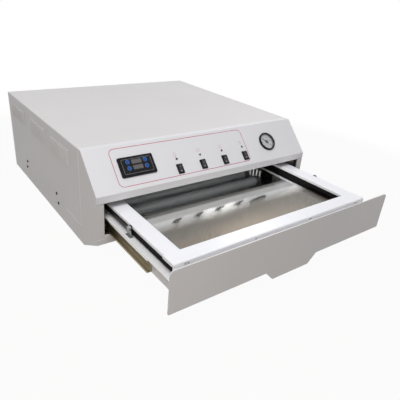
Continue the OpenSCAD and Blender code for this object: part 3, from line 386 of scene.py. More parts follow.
@dataclass(frozen=True)
class PrintedSlope(PowderCoat):
    """Powder paint with the panel's red printing on the slope.

    stroke is half the width of a sign's line, and the ink goes as far as reach off the slope.
    """

    ink: Tone = (0.46, 0.03, 0.06)
    sign_share: float = 0.55
    sign_r: float = 0.0036
    mains_r: float = 0.0034
    stroke: float = 0.0004
    reach: float = 0.0006
    outline: Outline = Outline(-0.2320, 0.1080, 0.0092, 0.0895, 0.011, 0.0006)
    sign_places: tuple[Point2, ...] = ()
    base_y: float = 0.0
    base_z: float = 0.0
    angle: float = 0.0

    def make(self, bench: Bench) -> bpy.types.Material:
        """Builds the paint with the printed outline and signs over it.

        Args:
            bench: the empty node tree.

        Returns:
            The finished material.
        """
        colour, rough, normal = self.paint(bench)
        x, y, z = bench.parts(bench.place())
        lean = math.radians(self.angle)
        up = (y - self.base_y) * math.cos(lean) + (z - self.base_z) * math.sin(lean)
        out = (z - self.base_z) * math.cos(lean) - (y - self.base_y) * math.sin(lean)
        on_slope = abs(out).below(self.reach)
        mark = self._frame_line(x, up)
        for place, sign in zip(self.sign_places, (self._bulb, self._ring, self._pump, self._bar)):
            mark = mark.most(sign(x - place[0], up - place[1]) * self.sign_share)
        colour = bench.blend(mark * on_slope, colour, self.ink)
        return bench.plain(Base_Color=colour, Roughness=rough, Normal=normal, IOR=1.5)

    def _frame_line(self, x: Shade, up: Shade) -> Shade:
        """Mask of the rounded outline.

        Args:
            x: place across the slope.
            up: place up the slope.

        Returns:
            One on the line, else zero.
        """
        o = self.outline
        dx = abs(x - (o.left + o.right) / 2) - ((o.right - o.left) / 2 - o.corner)
        dy = abs(up - (o.low + o.high) / 2) - ((o.high - o.low) / 2 - o.corner)
        outside = (dx.most(0.0) ** 2.0 + dy.most(0.0) ** 2.0).root()
        distance = outside + dx.most(dy).least(0.0) - o.corner
        return abs(distance).below(o.line)

    def _circle(self, x: Shade, y: Shade, radius: float) -> Shade:
        """Mask of a ring round the middle."""
        return abs((x * x + y * y).root() - radius).below(self.stroke)

    @staticmethod
    def _block(x: Shade, y: Shade, half_x: float, half_y: float) -> Shade:
        """Mask of a filled rectangle round the middle."""
        return abs(x).below(half_x) * abs(y).below(half_y)

    def _bulb(self, x: Shade, y: Shade) -> Shade:
        """Mask of a lamp sign: a ring on a short stem."""
        stem = self._block(x, y + 0.0052, 0.0016, 0.0007)
        return self._circle(x, y, self.sign_r).most(stem)

    def _ring(self, x: Shade, y: Shade) -> Shade:
        """Mask of a power sign: an open ring with a bar."""
        gap = 1.0 - self._block(x, y - 0.004, 0.0013, 0.002)
        return (self._circle(x, y, self.sign_r) * gap).most(
            self._block(x, y - 0.0030, self.stroke, 0.0018)
        )

    def _pump(self, x: Shade, y: Shade) -> Shade:
        """Mask of a suction sign: two bars over a line."""
        bars = self._block(abs(x) - 0.0022, y - 0.0008, self.stroke, 0.0030)
        return bars.most(self._block(x, y + 0.0034, 0.0040, self.stroke))

    def _bar(self, x: Shade, y: Shade) -> Shade:
        """Mask of a mains sign: one upright bar in a ring."""
        return self._circle(x, y, self.mains_r).most(self._block(x, y, self.stroke, 0.0018))


@dataclass(frozen=True)
class Brushed(Finish):
    """Bare metal with fine lines in one direction, turned about Z by turn."""

    grain: Grain = Grain.ACROSS
    rough: float = 0.30
    depth: float = 0.30
    stain: float = 0.10
    turn: float = 0.0
    shade: float = 0.80
    cloud_scale: float = 11.0
    stain_scale: float = 38.0

    def make(self, bench: Bench) -> bpy.types.Material:
        """Builds the brushed metal.

        Args:
            bench: the empty node tree.

        Returns:
            The finished material.
        """
        where = bench.turned(bench.place(), self.turn)
        lines = bench.noise(bench.stretched(where, self.grain.value), 1.0, 3.0, 0.6)
        cloud = bench.noise(where, self.cloud_scale, 3.0)
        stain = bench.noise(where, self.stain_scale, 2.0).above(0.66)
        colour = bench.blend(lines, self.tone, scaled(self.tone, self.shade))
        colour = bench.blend(stain * self.stain, colour, scaled(self.tone, 0.6))
        rough = self.rough * (0.6 + lines * 0.5 + cloud * 0.3)
        return bench.plain(
            Base_Color=colour, Metallic=1.0, Roughness=rough,
            Normal=bench.bump(lines, self.depth, 0.0003),
        )


@dataclass(frozen=True)
class Plated(Finish):
    """Plated steel: soft cloudy patches, slightly warmer in places."""

    rough: float = 0.34
    warm: Tone = (0.62, 0.56, 0.42)
    patch: float = 60.0
    fine: float = 900.0

    def make(self, bench: Bench) -> bpy.types.Material:
        """Builds the plated metal.

        Args:
            bench: the empty node tree.

        Returns:
            The finished material.
        """
        where = bench.place()
        patches = bench.noise(where, self.patch, 3.0, 0.6)
        fine = bench.noise(where, self.fine, 2.0)
        rough = self.rough + (patches - 0.5) * 0.25 + (fine - 0.5) * 0.10
        return bench.plain(
            Base_Color=bench.blend(patches * 0.6, self.tone, self.warm), Metallic=1.0,
            Roughness=rough, Normal=bench.bump(fine, 0.12, 0.0002),
        )


@dataclass(frozen=True)
class Moulded(Finish):
    """Moulded plastic with a fine spark-eroded texture."""

    rough: float = 0.45
    texture: float = 0.15
    coat: float = 0.0
    gloss: float = 0.5
    fine: float = 2600.0
    cloud_scale: float = 40.0

    def make(self, bench: Bench) -> bpy.types.Material:
        """Builds the plastic.

        Args:
            bench: the empty node tree.

        Returns:
            The finished material.
        """
        where = bench.place()
        fine = bench.noise(where, self.fine, 2.0)
        cloud = bench.noise(where, self.cloud_scale, 2.0)
        lighter = tuple(min(1.0, c * 1.25 + 0.004) for c in self.tone)
        return bench.plain(
            Base_Color=bench.blend(cloud * 0.5, self.tone, lighter),
            Roughness=self.rough + (fine - 0.5) * 0.12, Coat_Weight=self.coat, IOR=1.5,
            Specular_IOR_Level=self.gloss, Normal=bench.bump(fine, self.texture, 0.0002),
        )


@dataclass(frozen=True)
class Rubber(Finish):
    """Black foam rubber with a dull skin."""

    pore_scale: float = 700.0
    bloom_scale: float = 25.0

    def make(self, bench: Bench) -> bpy.types.Material:
        """Builds the rubber.

        Args:
            bench: the empty node tree.

        Returns:
            The finished material.
        """
        where = bench.place()
        pores = bench.noise(where, self.pore_scale, 3.0, 0.7)
        bloom = bench.noise(where, self.bloom_scale, 3.0)
        return bench.plain(
            Base_Color=bench.blend(bloom * 0.4, self.tone, scaled(self.tone, 1.8)),
            Roughness=0.72 + (pores - 0.5) * 0.2, Specular_IOR_Level=0.12,
            Normal=bench.bump(pores, 0.35, 0.0004),
        )


@dataclass(frozen=True)
class Pane(Finish):
    """Glass that lets light through, and mirrors more at a low angle and on its coated part.

    The coat begins at coat_from along Y and is whole from coat_full on. It shows from the low
    angle flat_from, and fully from flat_full on.
    """

    mirrored: Tone = (0.97, 0.98, 0.98)
    straight: float = 0.04
    coated: float = 0.0
    coat_tone: Tone = (0.97, 0.98, 0.98)
    smear_tone: Tone = (0.86, 0.86, 0.84)
    coat_from: float = -0.264
    coat_full: float = -0.232
    flat_from: float = 0.15
    flat_full: float = 0.50
    smear_grain: Point3 = (9.0, 30.0, 9.0)
    streak_grain: Point3 = (520.0, 12.0, 520.0)
    streak_turn: float = 0.84
    streak: float = 0.56

    def make(self, bench: Bench) -> bpy.types.Material:
        """Builds the glass as a clear sheet with a mirror over it.

        Args:
            bench: the empty node tree.

        Returns:
            The finished material.
        """
        where = bench.place()
        smear = bench.noise(bench.stretched(where, self.smear_grain), 1.0, 4.0, 0.6)
        _, y, _ = bench.parts(where)
        flat = bench.facing().ramp(self.flat_from, self.flat_full)
        coat = y.ramp(self.coat_from, self.coat_full) * flat
        low_angle = (1.0 - self.straight) * bench.facing() ** 5.0
        mirror = (self.straight + low_angle + coat * self.coated).least(1.0)
        if self.coated > 0.0:
            turned = bench.turned(where, self.streak_turn)
            lines = bench.noise(bench.stretched(turned, self.streak_grain), 1.0, 2.0, 0.6)
            mirror = (mirror * (1.0 - self.streak / 2 + lines * self.streak)).least(1.0)
        tint = bench.blend(coat, self.mirrored, self.coat_tone)
        clear = bench.node("ShaderNodeBsdfTransparent", None, {"Color": self.tone})
        gloss = bench.surface(
            Base_Color=bench.blend(smear * 0.6, tint, self.smear_tone),
            Metallic=1.0, Roughness=0.09 - coat * 0.05 + smear * 0.05,
        )
        return bench.mixed(mirror, clear, gloss)


@dataclass(frozen=True)
class Glazed(Finish):
    """A smooth glossy skin with faint clouds, as on lamp glass or a display window."""

    darker: float = 0.94
    share: float = 0.5
    rough: float = 0.12
    vary: float = 0.05
    coat: float = 0.5
    wave: float = 0.02
    depth: float = 0.0002
    cloud_scale: float = 30.0

    def make(self, bench: Bench) -> bpy.types.Material:
        """Builds the glossy material."""
        cloud = bench.noise(bench.place(), self.cloud_scale, 2.0)
        return bench.plain(
            Base_Color=bench.blend(cloud * self.share, self.tone, scaled(self.tone, self.darker)),
            Roughness=self.rough + cloud * self.vary, Coat_Weight=self.coat,
            Normal=bench.bump(cloud, self.wave, self.depth),
        )


class Paint(Enum):
    """The finishes of this object, by what they are on."""

    SIDE = PowderCoat("paint_side", (0.71, 0.69, 0.68))
    # The chassis's inner faces are near-black: painted shade for the unlit inside of the cabinet.
    SHELL = InsideShadedCoat("paint_shell", (0.71, 0.69, 0.68))
    PANEL = PowderCoat("paint_panel", (0.78, 0.775, 0.79), rough=0.30)
    # A lighter copy of the drawer's paint on the drawer box, so that its top-lit flange shows bright:
    # painted light.
    BOX = PowderCoat("paint_box_lit", (0.84, 0.83, 0.82), rough=0.32)
    DRAWER = PowderCoat("paint_drawer", (0.72, 0.705, 0.695))
    LID = PowderCoat("paint_lid", (0.94, 0.94, 0.96), rough=0.30)
    # The pan's dark warm brown is partly the metal's own tone and partly painted reflection, standing in
    # for the warm room that the metal mirrors.
    TRAY = Brushed(
        "metal_tray", (0.225, 0.155, 0.105), grain=Grain.COARSE, stain=0.04, turn=0.84, shade=0.45
    )
    CORE = Brushed("metal_core", (0.70, 0.71, 0.72), grain=Grain.ALONG, rough=0.32)
    REFLECTOR = Brushed("metal_reflector", (0.88, 0.89, 0.90), grain=Grain.ACROSS, rough=0.46)
    SLIDE = Plated("plate_slide", (0.44, 0.41, 0.34), warm=(0.40, 0.33, 0.20))
    # A near-white plate used only for the slides' bright edge lines: a painted highlight.
    EDGE = Plated("plate_edge_highlight", (0.93, 0.92, 0.88), warm=(0.86, 0.84, 0.76), rough=0.45)
    ZINC = Plated("plate_zinc", (0.72, 0.72, 0.72), warm=(0.70, 0.67, 0.60))
    BRASS = Plated("plate_brass", (0.72, 0.55, 0.26), warm=(0.60, 0.42, 0.18), rough=0.28)
    CAGE = Plated("plate_cage", (0.66, 0.60, 0.42), warm=(0.60, 0.52, 0.30), rough=0.30)
    CAST = Plated("cast_head", (0.60, 0.61, 0.62), rough=0.45, patch=220.0)
    SCREW = Plated("black_oxide", (0.035, 0.035, 0.04), warm=(0.05, 0.045, 0.04), rough=0.42)
    ARM = Plated("dark_steel", (0.03, 0.03, 0.032), warm=(0.05, 0.045, 0.04), rough=0.40)
    BRACKET = Plated("grey_steel", (0.33, 0.35, 0.36), warm=(0.28, 0.28, 0.27), rough=0.42)
    SEAL = Rubber("rubber_black", (0.008, 0.008, 0.009))
    # The warm tint of the pane's mirror is painted reflection colour, standing in for the warm room that
    # it reflects.
    PANE = Pane(
        "glass_pane", (0.93, 0.945, 0.94), mirrored=(0.98, 0.92, 0.84), straight=0.09, coated=0.68,
        coat_tone=(0.96, 0.98, 0.97),
    )
    LENS = Pane("glass_lens", (0.98, 0.985, 0.985))
    LAMP = Glazed("lamp_glass", (0.86, 0.87, 0.91))
    WHITE_PLASTIC = Moulded("plastic_white", (0.80, 0.80, 0.77))
    GREY_PLASTIC = Moulded("plastic_grey", (0.20, 0.20, 0.195))
    BLACK_PLASTIC = Moulded("plastic_black", (0.010, 0.010, 0.011), rough=0.46, gloss=0.10)
    PADDLE = Moulded("plastic_paddle", (0.016, 0.016, 0.018), rough=0.22, texture=0.05)
    BLUE = Moulded("plastic_blue", (0.015, 0.065, 0.30), rough=0.30, texture=0.05, gloss=0.3)
    BLUE_RING = Moulded("plastic_blue_ring", (0.05, 0.20, 0.55), rough=0.30, texture=0.05, gloss=0.3)
    DARK_LENS = Moulded("plastic_dark_lens", (0.035, 0.016, 0.018), rough=0.15, texture=0.02, coat=0.8)
    DISPLAY = Glazed(
        "display_grey", (0.12, 0.112, 0.114), darker=0.8, share=1.0, rough=0.3, vary=0.08,
        coat=0.1, wave=0.03, depth=0.0001, cloud_scale=120.0,
    )
    SEGMENT = Moulded("display_segment", (0.085, 0.08, 0.082), rough=0.3, texture=0.02)
    DIAL = Moulded("dial_face", (0.55, 0.55, 0.56), rough=0.35, texture=0.04)
    INK = Moulded("dial_ink", (0.03, 0.03, 0.035), rough=0.5, texture=0.04)
    MARK = Moulded("white_mark", (0.42, 0.42, 0.42), rough=0.4, texture=0.04)
    GREY_LINE = Moulded("grey_line", (0.30, 0.31, 0.33), rough=0.4, texture=0.04)
    MOTOR = PowderCoat("paint_motor", (0.085, 0.09, 0.10), rough=0.40)


# Each finish with the names of its nodes
Finishes = tuple[tuple[Paint, tuple[str, ...]], ...]


class Shape:
    """A mesh under construction, with named ways to add forms to it."""

    def __init__(self, name: str) -> None:
        """Starts an empty shape.

        Args:
            name: the piece's name.
        """
        self.name = name
        self.mesh = bmesh.new()

    def prism(self, outline: Sequence[Point2], low: float, high: float, at: Matrix) -> "Shape":
        """Adds an outline raised along its own Z.

        Args:
            outline: points round it, counter-clockwise.
            low: height of its lower face.
            high: height of its upper face.
            at: where its own frame stands.

        Returns:
            This shape.
        """
        floor = [self.mesh.verts.new(at @ Vector((x, y, low))) for x, y in outline]
        roof = [self.mesh.verts.new(at @ Vector((x, y, high))) for x, y in outline]
        self.mesh.faces.new(list(reversed(floor)))
        self.mesh.faces.new(roof)
        for i, vert in enumerate(floor):
            j = (i + 1) % len(floor)
            self.mesh.faces.new((vert, floor[j], roof[j], roof[i]))
        return self

    def band(
        self, outer: Sequence[Point2], inner: Sequence[Point2], low: float, high: float, at: Matrix
    ) -> "Shape":
        """Adds a closed band between two outlines with as many points each.

        Args:
            outer: the outer outline, counter-clockwise.
            inner: the inner outline, point by point inside the outer one.
            low: height of its lower face.
            high: height of its upper face.
            at: where its own frame stands.

        Returns:
            This shape.
        """
        rings = [
            [self.mesh.verts.new(at @ Vector((x, y, h))) for x, y in outline]
            for outline, h in ((outer, low), (outer, high), (inner, high), (inner, low))
        ]
        for i in range(len(outer)):
            j = (i + 1) % len(outer)
            for k, a in enumerate(rings):
                b = rings[(k + 1) % len(rings)]
                self.mesh.faces.new((a[i], a[j], b[j], b[i]))
        return self

    def mark(self, outline: Sequence[Point2], thick: float, at: Matrix) -> "Shape":
        """Adds a thin printed mark that is sunk a little into its face."""
        return self.prism(outline, -SUNK, thick, at)

    def piece(self, finish: Paint, body: str, slot: str) -> None:
        """Ends the shape as a piece of the object.

        Args:
            finish: its finish.
            body: the body that it moves with.
            slot: the record's material slot that it belongs to; not used.
        """
        bmesh.ops.recalc_face_normals(self.mesh, faces=self.mesh.faces)
        data = bpy.data.meshes.new(self.name)
        self.mesh.to_mesh(data)
        self.mesh.free()
        made = bpy.data.objects.new(self.name, data)
        bpy.context.scene.collection.objects.link(made)
        made.data.materials.append(finish.value.material())
        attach(made, body)
        log.info("piece %s on %s", self.name, body)


def rectangle(width: float, height: float) -> list[Point2]:
    """The four corners of a rectangle round the middle, counter-clockwise."""
    return [
        (-width / 2, -height / 2), (width / 2, -height / 2),
        (width / 2, height / 2), (-width / 2, height / 2),
    ]


def soft_rectangle(width: float, height: float, corner: float, steps: int = 6) -> list[Point2]:
    """A rectangle with round corners, round the middle.

    Args:
        width: its size across.
        height: its size up.
        corner: the corners' radius.
        steps: points in each corner, less one.

    Returns:
        Its points, counter-clockwise.
    """
    points = []
    for quarter, (sx, sy) in enumerate(((1, 1), (-1, 1), (-1, -1), (1, -1))):
        cx = sx * (width / 2 - corner)
        cy = sy * (height / 2 - corner)
        for i in range(steps + 1):
            turn = math.radians(90 * quarter + 90 * i / steps)
            points.append((cx + corner * math.cos(turn), cy + corner * math.sin(turn)))
    return points


def circle(radius: float, steps: int = 32) -> list[Point2]:
    """Points of a circle round the middle, counter-clockwise."""
    turns = (2 * math.pi * i / steps for i in range(steps))
    return [(radius * math.cos(turn), radius * math.sin(turn)) for turn in turns]


def slab(name: str, middle: Point3, size: Point3, finish: Paint, body: str, slot: str) -> None:
    """Adds a thin rectangular piece, given its middle and its size along each axis."""
    wide, deep, tall = size
    Shape(name).prism(
        rectangle(wide, deep), -tall / 2, tall / 2, Matrix.Translation(middle)
    ).piece(finish, body, slot)


def cover(node: str, finish: Finish) -> None:
    """Gives a node of the frame a finish.

    Args:
        node: the node's name.
        finish: the finish for it.
    """
    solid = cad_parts[node]
    solid.data.materials.clear()
    solid.data.materials.append(finish.material())
    log.info("node %s in %s", node, finish.name)


def dress(finishes: Finishes) -> None:
    """Gives nodes of the frame the object's finishes.

    Args:
        finishes: each finish with the names of its nodes.
    """
    for finish, nodes in finishes:
        for node in nodes:
            cover(node, finish.value)


@dataclass
class Cabinet:
    """The cabinet's shell, its slides' fixed halves, its lamps and its pump."""

    finishes: Finishes = (
        (Paint.SIDE, ("top_cover", "rear_panel")),
        (Paint.SHELL, ("chassis",)),
        (Paint.SCREW, ("slide_channels", "cover_screws")),
        (Paint.SLIDE, ("cabinet_rails",)),
        (Paint.ZINC, ("cabinet_rail_screws",)),
        (Paint.BRACKET, ("lamp_bridge", "tube_caps")),
        (Paint.REFLECTOR, ("reflector",)),
        (Paint.LAMP, ("uv_tubes",)),
        (Paint.GREY_PLASTIC, ("lamp_holders",)),
        (Paint.WHITE_PLASTIC, ("ballasts",)),
        (Paint.MOTOR, ("vacuum_pump",)),
        (Paint.CAST, ("pump_head",)),
        (Paint.BRASS, ("hose_fittings", "rocker_terminals")),
        (Paint.SEAL, ("feet", "pump_mounts")),
        (Paint.BLACK_PLASTIC, ("power_inlet",)),
    )

    def build(self) -> None:
        """Dresses every node of the cabinet."""
        dress(self.finishes)


@dataclass
class Seams:
    """Painted highlights: thin strips of whiter paint where the cover and the sill meet the cheeks."""

    wide: float = 0.0008
    proud: float = 0.00025
    front_cut: float = 0.0048
    sill_line: float = 0.052
    foot_line: float = 0.085
    cheek: float = 0.0165

    def build(self) -> None:
        """Adds the painted seam highlights on both sides."""
        low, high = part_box("top_cover")
        _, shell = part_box("rear_panel")
        front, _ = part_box("chassis")
        thin = 2 * self.proud
        for side, sign in SIDES:
            x = sign * shell.x
            cheek_x = x - sign * (self.cheek / 2 + self.wide)
            self._painted_highlight(
                f"seam_front_{side}", (x, low.y, (low.z + high.z) / 2 - self.wide),
                (thin, self.wide, high.z - low.z - self.front_cut),
            )
            self._painted_highlight(
                f"seam_foot_{side}", (x, low.y + self.foot_line / 2, low.z),
                (thin, self.foot_line, self.wide),
            )
            self._painted_highlight(
                f"seam_cheek_{side}", (cheek_x, front.y, self.sill_line),
                (self.cheek, thin, self.wide),
            )

    @staticmethod
    def _painted_highlight(name: str, middle: Point3, size: Point3) -> None:
        """Adds one painted highlight strip along a seam."""
        # Whiter lid paint stands in for the light that the seam's edge catches: a painted highlight.
        slab(name, middle, size, Paint.LID, "cabinet", "cabinet_white")


@dataclass(frozen=True)
class SlideLine:
    """A line along a slide's member, drawn in its own finish: bright lines are painted highlights and
    dark lines are painted shade.

    Its height counts from the member's lower edge, or down from the upper edge where it is below
    zero. It lies inward from the member's outer face.
    """

    name: str
    height: float
    tall: float
    inward: float
    finish: Paint


@dataclass
class Slides:
    """The drawer's halves of the ball slides, and the cages between the halves."""

    finishes: Finishes = (
        (Paint.SLIDE, ("drawer_rails",)),
        (Paint.ZINC, ("drawer_rail_screws",)),
        (Paint.CAGE, ("ball_cage_left", "ball_cage_right")),
    )
    inset: float = 0.0006
    thin: float = 0.00024
    lines: tuple[SlideLine, ...] = (
        # The first and third lines are painted highlights on the lips; the second and fourth are painted
        # shade under the upper lip and below the lower one.
        SlideLine("edge", -0.0012, 0.0021, -0.0001, Paint.EDGE),
        SlideLine("race_shade", -0.0122, 0.0036, 0.0085, Paint.ARM),
        SlideLine("sill", 0.0026, 0.0014, -0.0001, Paint.BRASS),
        SlideLine("foot", 0.0010, 0.0016, -0.0001, Paint.ARM),
    )

    def build(self) -> None:
        """Dresses the moving members and the cages, and adds the members' painted highlight and shade
        lines.
        """
        dress(self.finishes)
        self._lines()

    def _lines(self) -> None:
        """Adds painted highlights along the members' upper edges and lower lips, and painted shade on
        the webs under the upper lips and at the feet.
        """
        low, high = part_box("drawer_rails")
        length = high.y - low.y - 2 * self.inset
        for side, sign in SIDES:
            for line in self.lines:
                z = line.height + (high.z if line.height < 0.0 else low.z)
                slab(
                    f"slide_{line.name}_{side}",
                    (sign * (high.x - line.inward), (low.y + high.y) / 2, z),
                    (self.thin, length, line.tall), line.finish, "drawer", "slide_steel",
                )


@dataclass
class Drawer:
    """The drawer box with its front plate and tray."""

    finishes: Finishes = (
        (Paint.DRAWER, ("fascia",)),
        (Paint.BOX, ("drawer_box",)),
        (Paint.TRAY, ("tray_pan",)),
        (Paint.ZINC, ("fascia_nuts", "fixed_hinge_leaves", "hinge_pins")),
        (Paint.BRACKET, ("stay_brackets",)),
        (Paint.BRASS, ("drawer_fitting",)),
    )

    def build(self) -> None:
        """Dresses the drawer's nodes."""
        dress(self.finishes)


@dataclass
class Lid:
    """The glass lid with its rim, seal, hinges and stays."""

    finishes: Finishes = (
        (Paint.LID, ("lid_rim", "front_bar")),
        (Paint.ZINC, ("front_bar_screws", "lid_hinge_leaves", "stay_pegs")),
        (Paint.ARM, ("stay_arm_left", "stay_arm_right")),
        (Paint.CORE, ("lid_core",)),
        (Paint.PANE, ("glass_pane",)),
        (Paint.SEAL, ("rubber_seal",)),
    )
    edging: float = 0.0012
    edging_lift: float = 0.0012

    def build(self) -> None:
        """Dresses the lid's nodes and adds the pane's edging."""
        dress(self.finishes)
        self._edging()

    def _edging(self) -> None:
        """Adds the black edging on the pane's two long sides."""
        low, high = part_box("glass_pane")
        foot = low.z + self.edging_lift
        for side, sign in SIDES:
            slab(
                f"pane_edging_{side}",
                (sign * (high.x + self.edging / 2), (low.y + high.y) / 2, (foot + high.z) / 2),
                (self.edging, high.y - low.y, high.z - foot), Paint.SEAL, "lid", "rubber_black",
            )


@dataclass
class Slope:
    """The sloped panel as a place for instruments: X across it, Y up it, Z out of it."""

    lean: float = 46.336
    lip_height: float = 0.1408

    def frame_at(self, across: float, up: float, out: float = 0.0, turn: float = 0.0) -> Matrix:
        """A frame on the slope.

        Args:
            across: place from the middle.
            up: distance from the slope's lower edge.
            out: height over the slope.
            turn: turn about the frame's own Z.

        Returns:
            The frame's matrix.
        """
        foot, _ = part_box("chassis")
        front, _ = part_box("control_panel")
        return (
            Matrix.Translation((0.0, front.y, foot.z + self.lip_height))
            @ Matrix.Rotation(math.radians(self.lean), 4, "X")
            @ Matrix.Translation((across, up, out))
            @ Matrix.Rotation(math.radians(turn), 4, "Z")
        )


@dataclass
class ControlPanel:
    """The painted lip and slope with the red printing."""

    slope: Slope
    sign_xs: tuple[float, ...] = (-0.0893, -0.0279, 0.0335, 0.0947)
    sign_up: float = 0.057

    def build(self) -> None:
        """Dresses the panel with the printed paint."""
        base = self.slope.frame_at(0.0, 0.0).translation
        printed = PrintedSlope(
            "paint_panel_printed", Paint.PANEL.value.tone, Paint.PANEL.value.rough,
            sign_places=tuple((x, self.sign_up) for x in self.sign_xs),
            base_y=base.y, base_z=base.z, angle=self.slope.lean,
        )
        cover("control_panel", printed)


@dataclass
class Digit:
    """A seven-segment digit drawn with flat bars."""

    height: float = 0.0060
    width: float = 0.0032
    stroke: float = 0.0006

    BARS = {
        "0": "abcdef", "1": "bc", "2": "abdeg", "3": "abcdg", "4": "bcfg",
        "5": "acdfg", "6": "acdefg", "7": "abc", "8": "abcdefg", "9": "abcdfg",
    }

    def bars(self, figure: str) -> list[tuple[Point2, float, float]]:
        """The bars of one figure.

        Args:
            figure: a figure from 0 to 9.

        Returns:
            For each bar its middle, width and height.
        """
        w, h, s = self.width, self.height, self.stroke
        places = {
            "a": ((0, h / 2), w, s), "g": ((0, 0), w, s), "d": ((0, -h / 2), w, s),
            "b": ((w / 2, h / 4), s, h / 2), "c": ((w / 2, -h / 4), s, h / 2),
            "e": ((-w / 2, -h / 4), s, h / 2), "f": ((-w / 2, h / 4), s, h / 2),
        }
        return [places[key] for key in self.BARS[figure]]


@dataclass
class Timer:
    """The timer with its two displays and four push buttons."""

    slope: Slope
    finishes: Finishes = (
        (Paint.BLACK_PLASTIC, ("timer_case",)),
        (Paint.DISPLAY, ("timer_displays",)),
        (Paint.BLUE, tuple(f"timer_button_{i}" for i in range(1, 5))),
    )
    middle: Point2 = (-0.1824, 0.0473)
    face_out: float = 0.0040
    display_out: float = 0.0035
    display_places: tuple[Point2, ...] = ((-0.1821, 0.0562), (-0.1819, 0.0440))
    readings: tuple[str, ...] = ("0000", "0000")
    digit_pitch: float = 1.45
    bar_share: float = 0.9
    digit_thick: float = 0.0001
    line_size: Point2 = (0.0650, 0.0310)
    line_corner: float = 0.0022
    line: float = 0.0004
    line_thick: float = 0.00012
    button_r: float = 0.0032
    button_dx: float = 0.0195
    button_ups: tuple[float, ...] = (0.0565, 0.0433)
    ring_gap: float = 0.0005
    ring_wide: float = 0.0008
    ring_thick: float = 0.0002
    digit: Digit = field(default_factory=Digit)

    def build(self) -> None:
        """Dresses the timer and adds its digits, rings and inner line."""
        dress(self.finishes)
        self._inner_line()
        self._digits()
        self._rings()

    def _inner_line(self) -> None:
        """Adds the thin lighter line round the timer's raised field."""
        at = self.slope.frame_at(*self.middle, self.face_out)
        wide, high = self.line_size
        outer = soft_rectangle(wide, high, self.line_corner)
        inner = soft_rectangle(
            wide - 2 * self.line, high - 2 * self.line, self.line_corner - self.line
        )
        Shape("timer_line").band(outer, inner, -SUNK, self.line_thick, at).piece(
            Paint.GREY_LINE, "cabinet", "plastic_black"
        )

    def _digits(self) -> None:
        """Adds the figures in the two displays."""
        shape = Shape("timer_digits")
        pitch = self.digit.width * self.digit_pitch
        for place, reading in zip(self.display_places, self.readings):
            for i, figure in enumerate(reading):
                shift = (i - (len(reading) - 1) / 2) * pitch
                for (x, y), w, h in self.digit.bars(figure):
                    at = self.slope.frame_at(place[0] + shift + x, place[1] + y, self.display_out)
                    bar = rectangle(w * self.bar_share, h * self.bar_share)
                    shape.mark(bar, self.digit_thick, at)
        shape.piece(Paint.SEGMENT, "cabinet", "display_grey")

    def _rings(self) -> None:
        """Adds the paler ring round each push button."""
        shape = Shape("timer_rings")
        inner_r = self.button_r + self.ring_gap
        for up in self.button_ups:
            for _, sign in SIDES:
                at = self.slope.frame_at(self.middle[0] + sign * self.button_dx, up, self.face_out)
                outer = circle(inner_r + self.ring_wide)
                shape.band(outer, circle(inner_r), -SUNK, self.ring_thick, at)
        shape.piece(Paint.BLUE_RING, "cabinet", "plastic_black")


@dataclass
class Rockers:
    """The four rocker switches with their white marks, and the indicators above them."""

    slope: Slope
    finishes: Finishes = (
        (Paint.BLACK_PLASTIC, ("rocker_housings",)),
        (Paint.DARK_LENS, ("indicator_lamps",)),
        (Paint.PADDLE, tuple(f"rocker_{i}" for i in range(1, 5))),
    )
    xs: tuple[float, ...] = (-0.0882, -0.0269, 0.0344, 0.0957)
    up: float = 0.023
    tilt: float = 12.0
    reach: float = 0.0084
    valley: float = 0.0026
    arrow: tuple[Point2, ...] = ((-0.0014, -0.0012), (0.0014, -0.0012), (0.0, 0.0014))
    bar: Point2 = (0.0022, 0.0006)
    thick: float = 0.00012

    def build(self) -> None:
        """Dresses the switches and adds the marks on the paddles."""
        dress(self.finishes)
        for i, x in enumerate(self.xs, start=1):
            self._marks(i, x)

    def _marks(self, number: int, x: float) -> None:
        """Adds the two marks of one paddle.

        Args:
            number: the switch's number.
            x: its place across the slope.
        """
        pivot = self.slope.frame_at(x, self.up) @ Matrix.Rotation(math.radians(self.tilt), 4, "X")
        shape = Shape(f"rocker_marks_{number}")
        for side, outline in ((-1, self.arrow), (1, rectangle(*self.bar))):
            face = (
                pivot
                @ Matrix.Translation((0, 0, self.valley))
                @ Matrix.Rotation(math.radians(side * self.tilt), 4, "X")
                @ Matrix.Translation((0, side * self.reach / 2, 0))
            )
            shape.mark(outline, self.thick, face)
        shape.piece(Paint.MARK, f"rocker_{number}", "paddle_black")


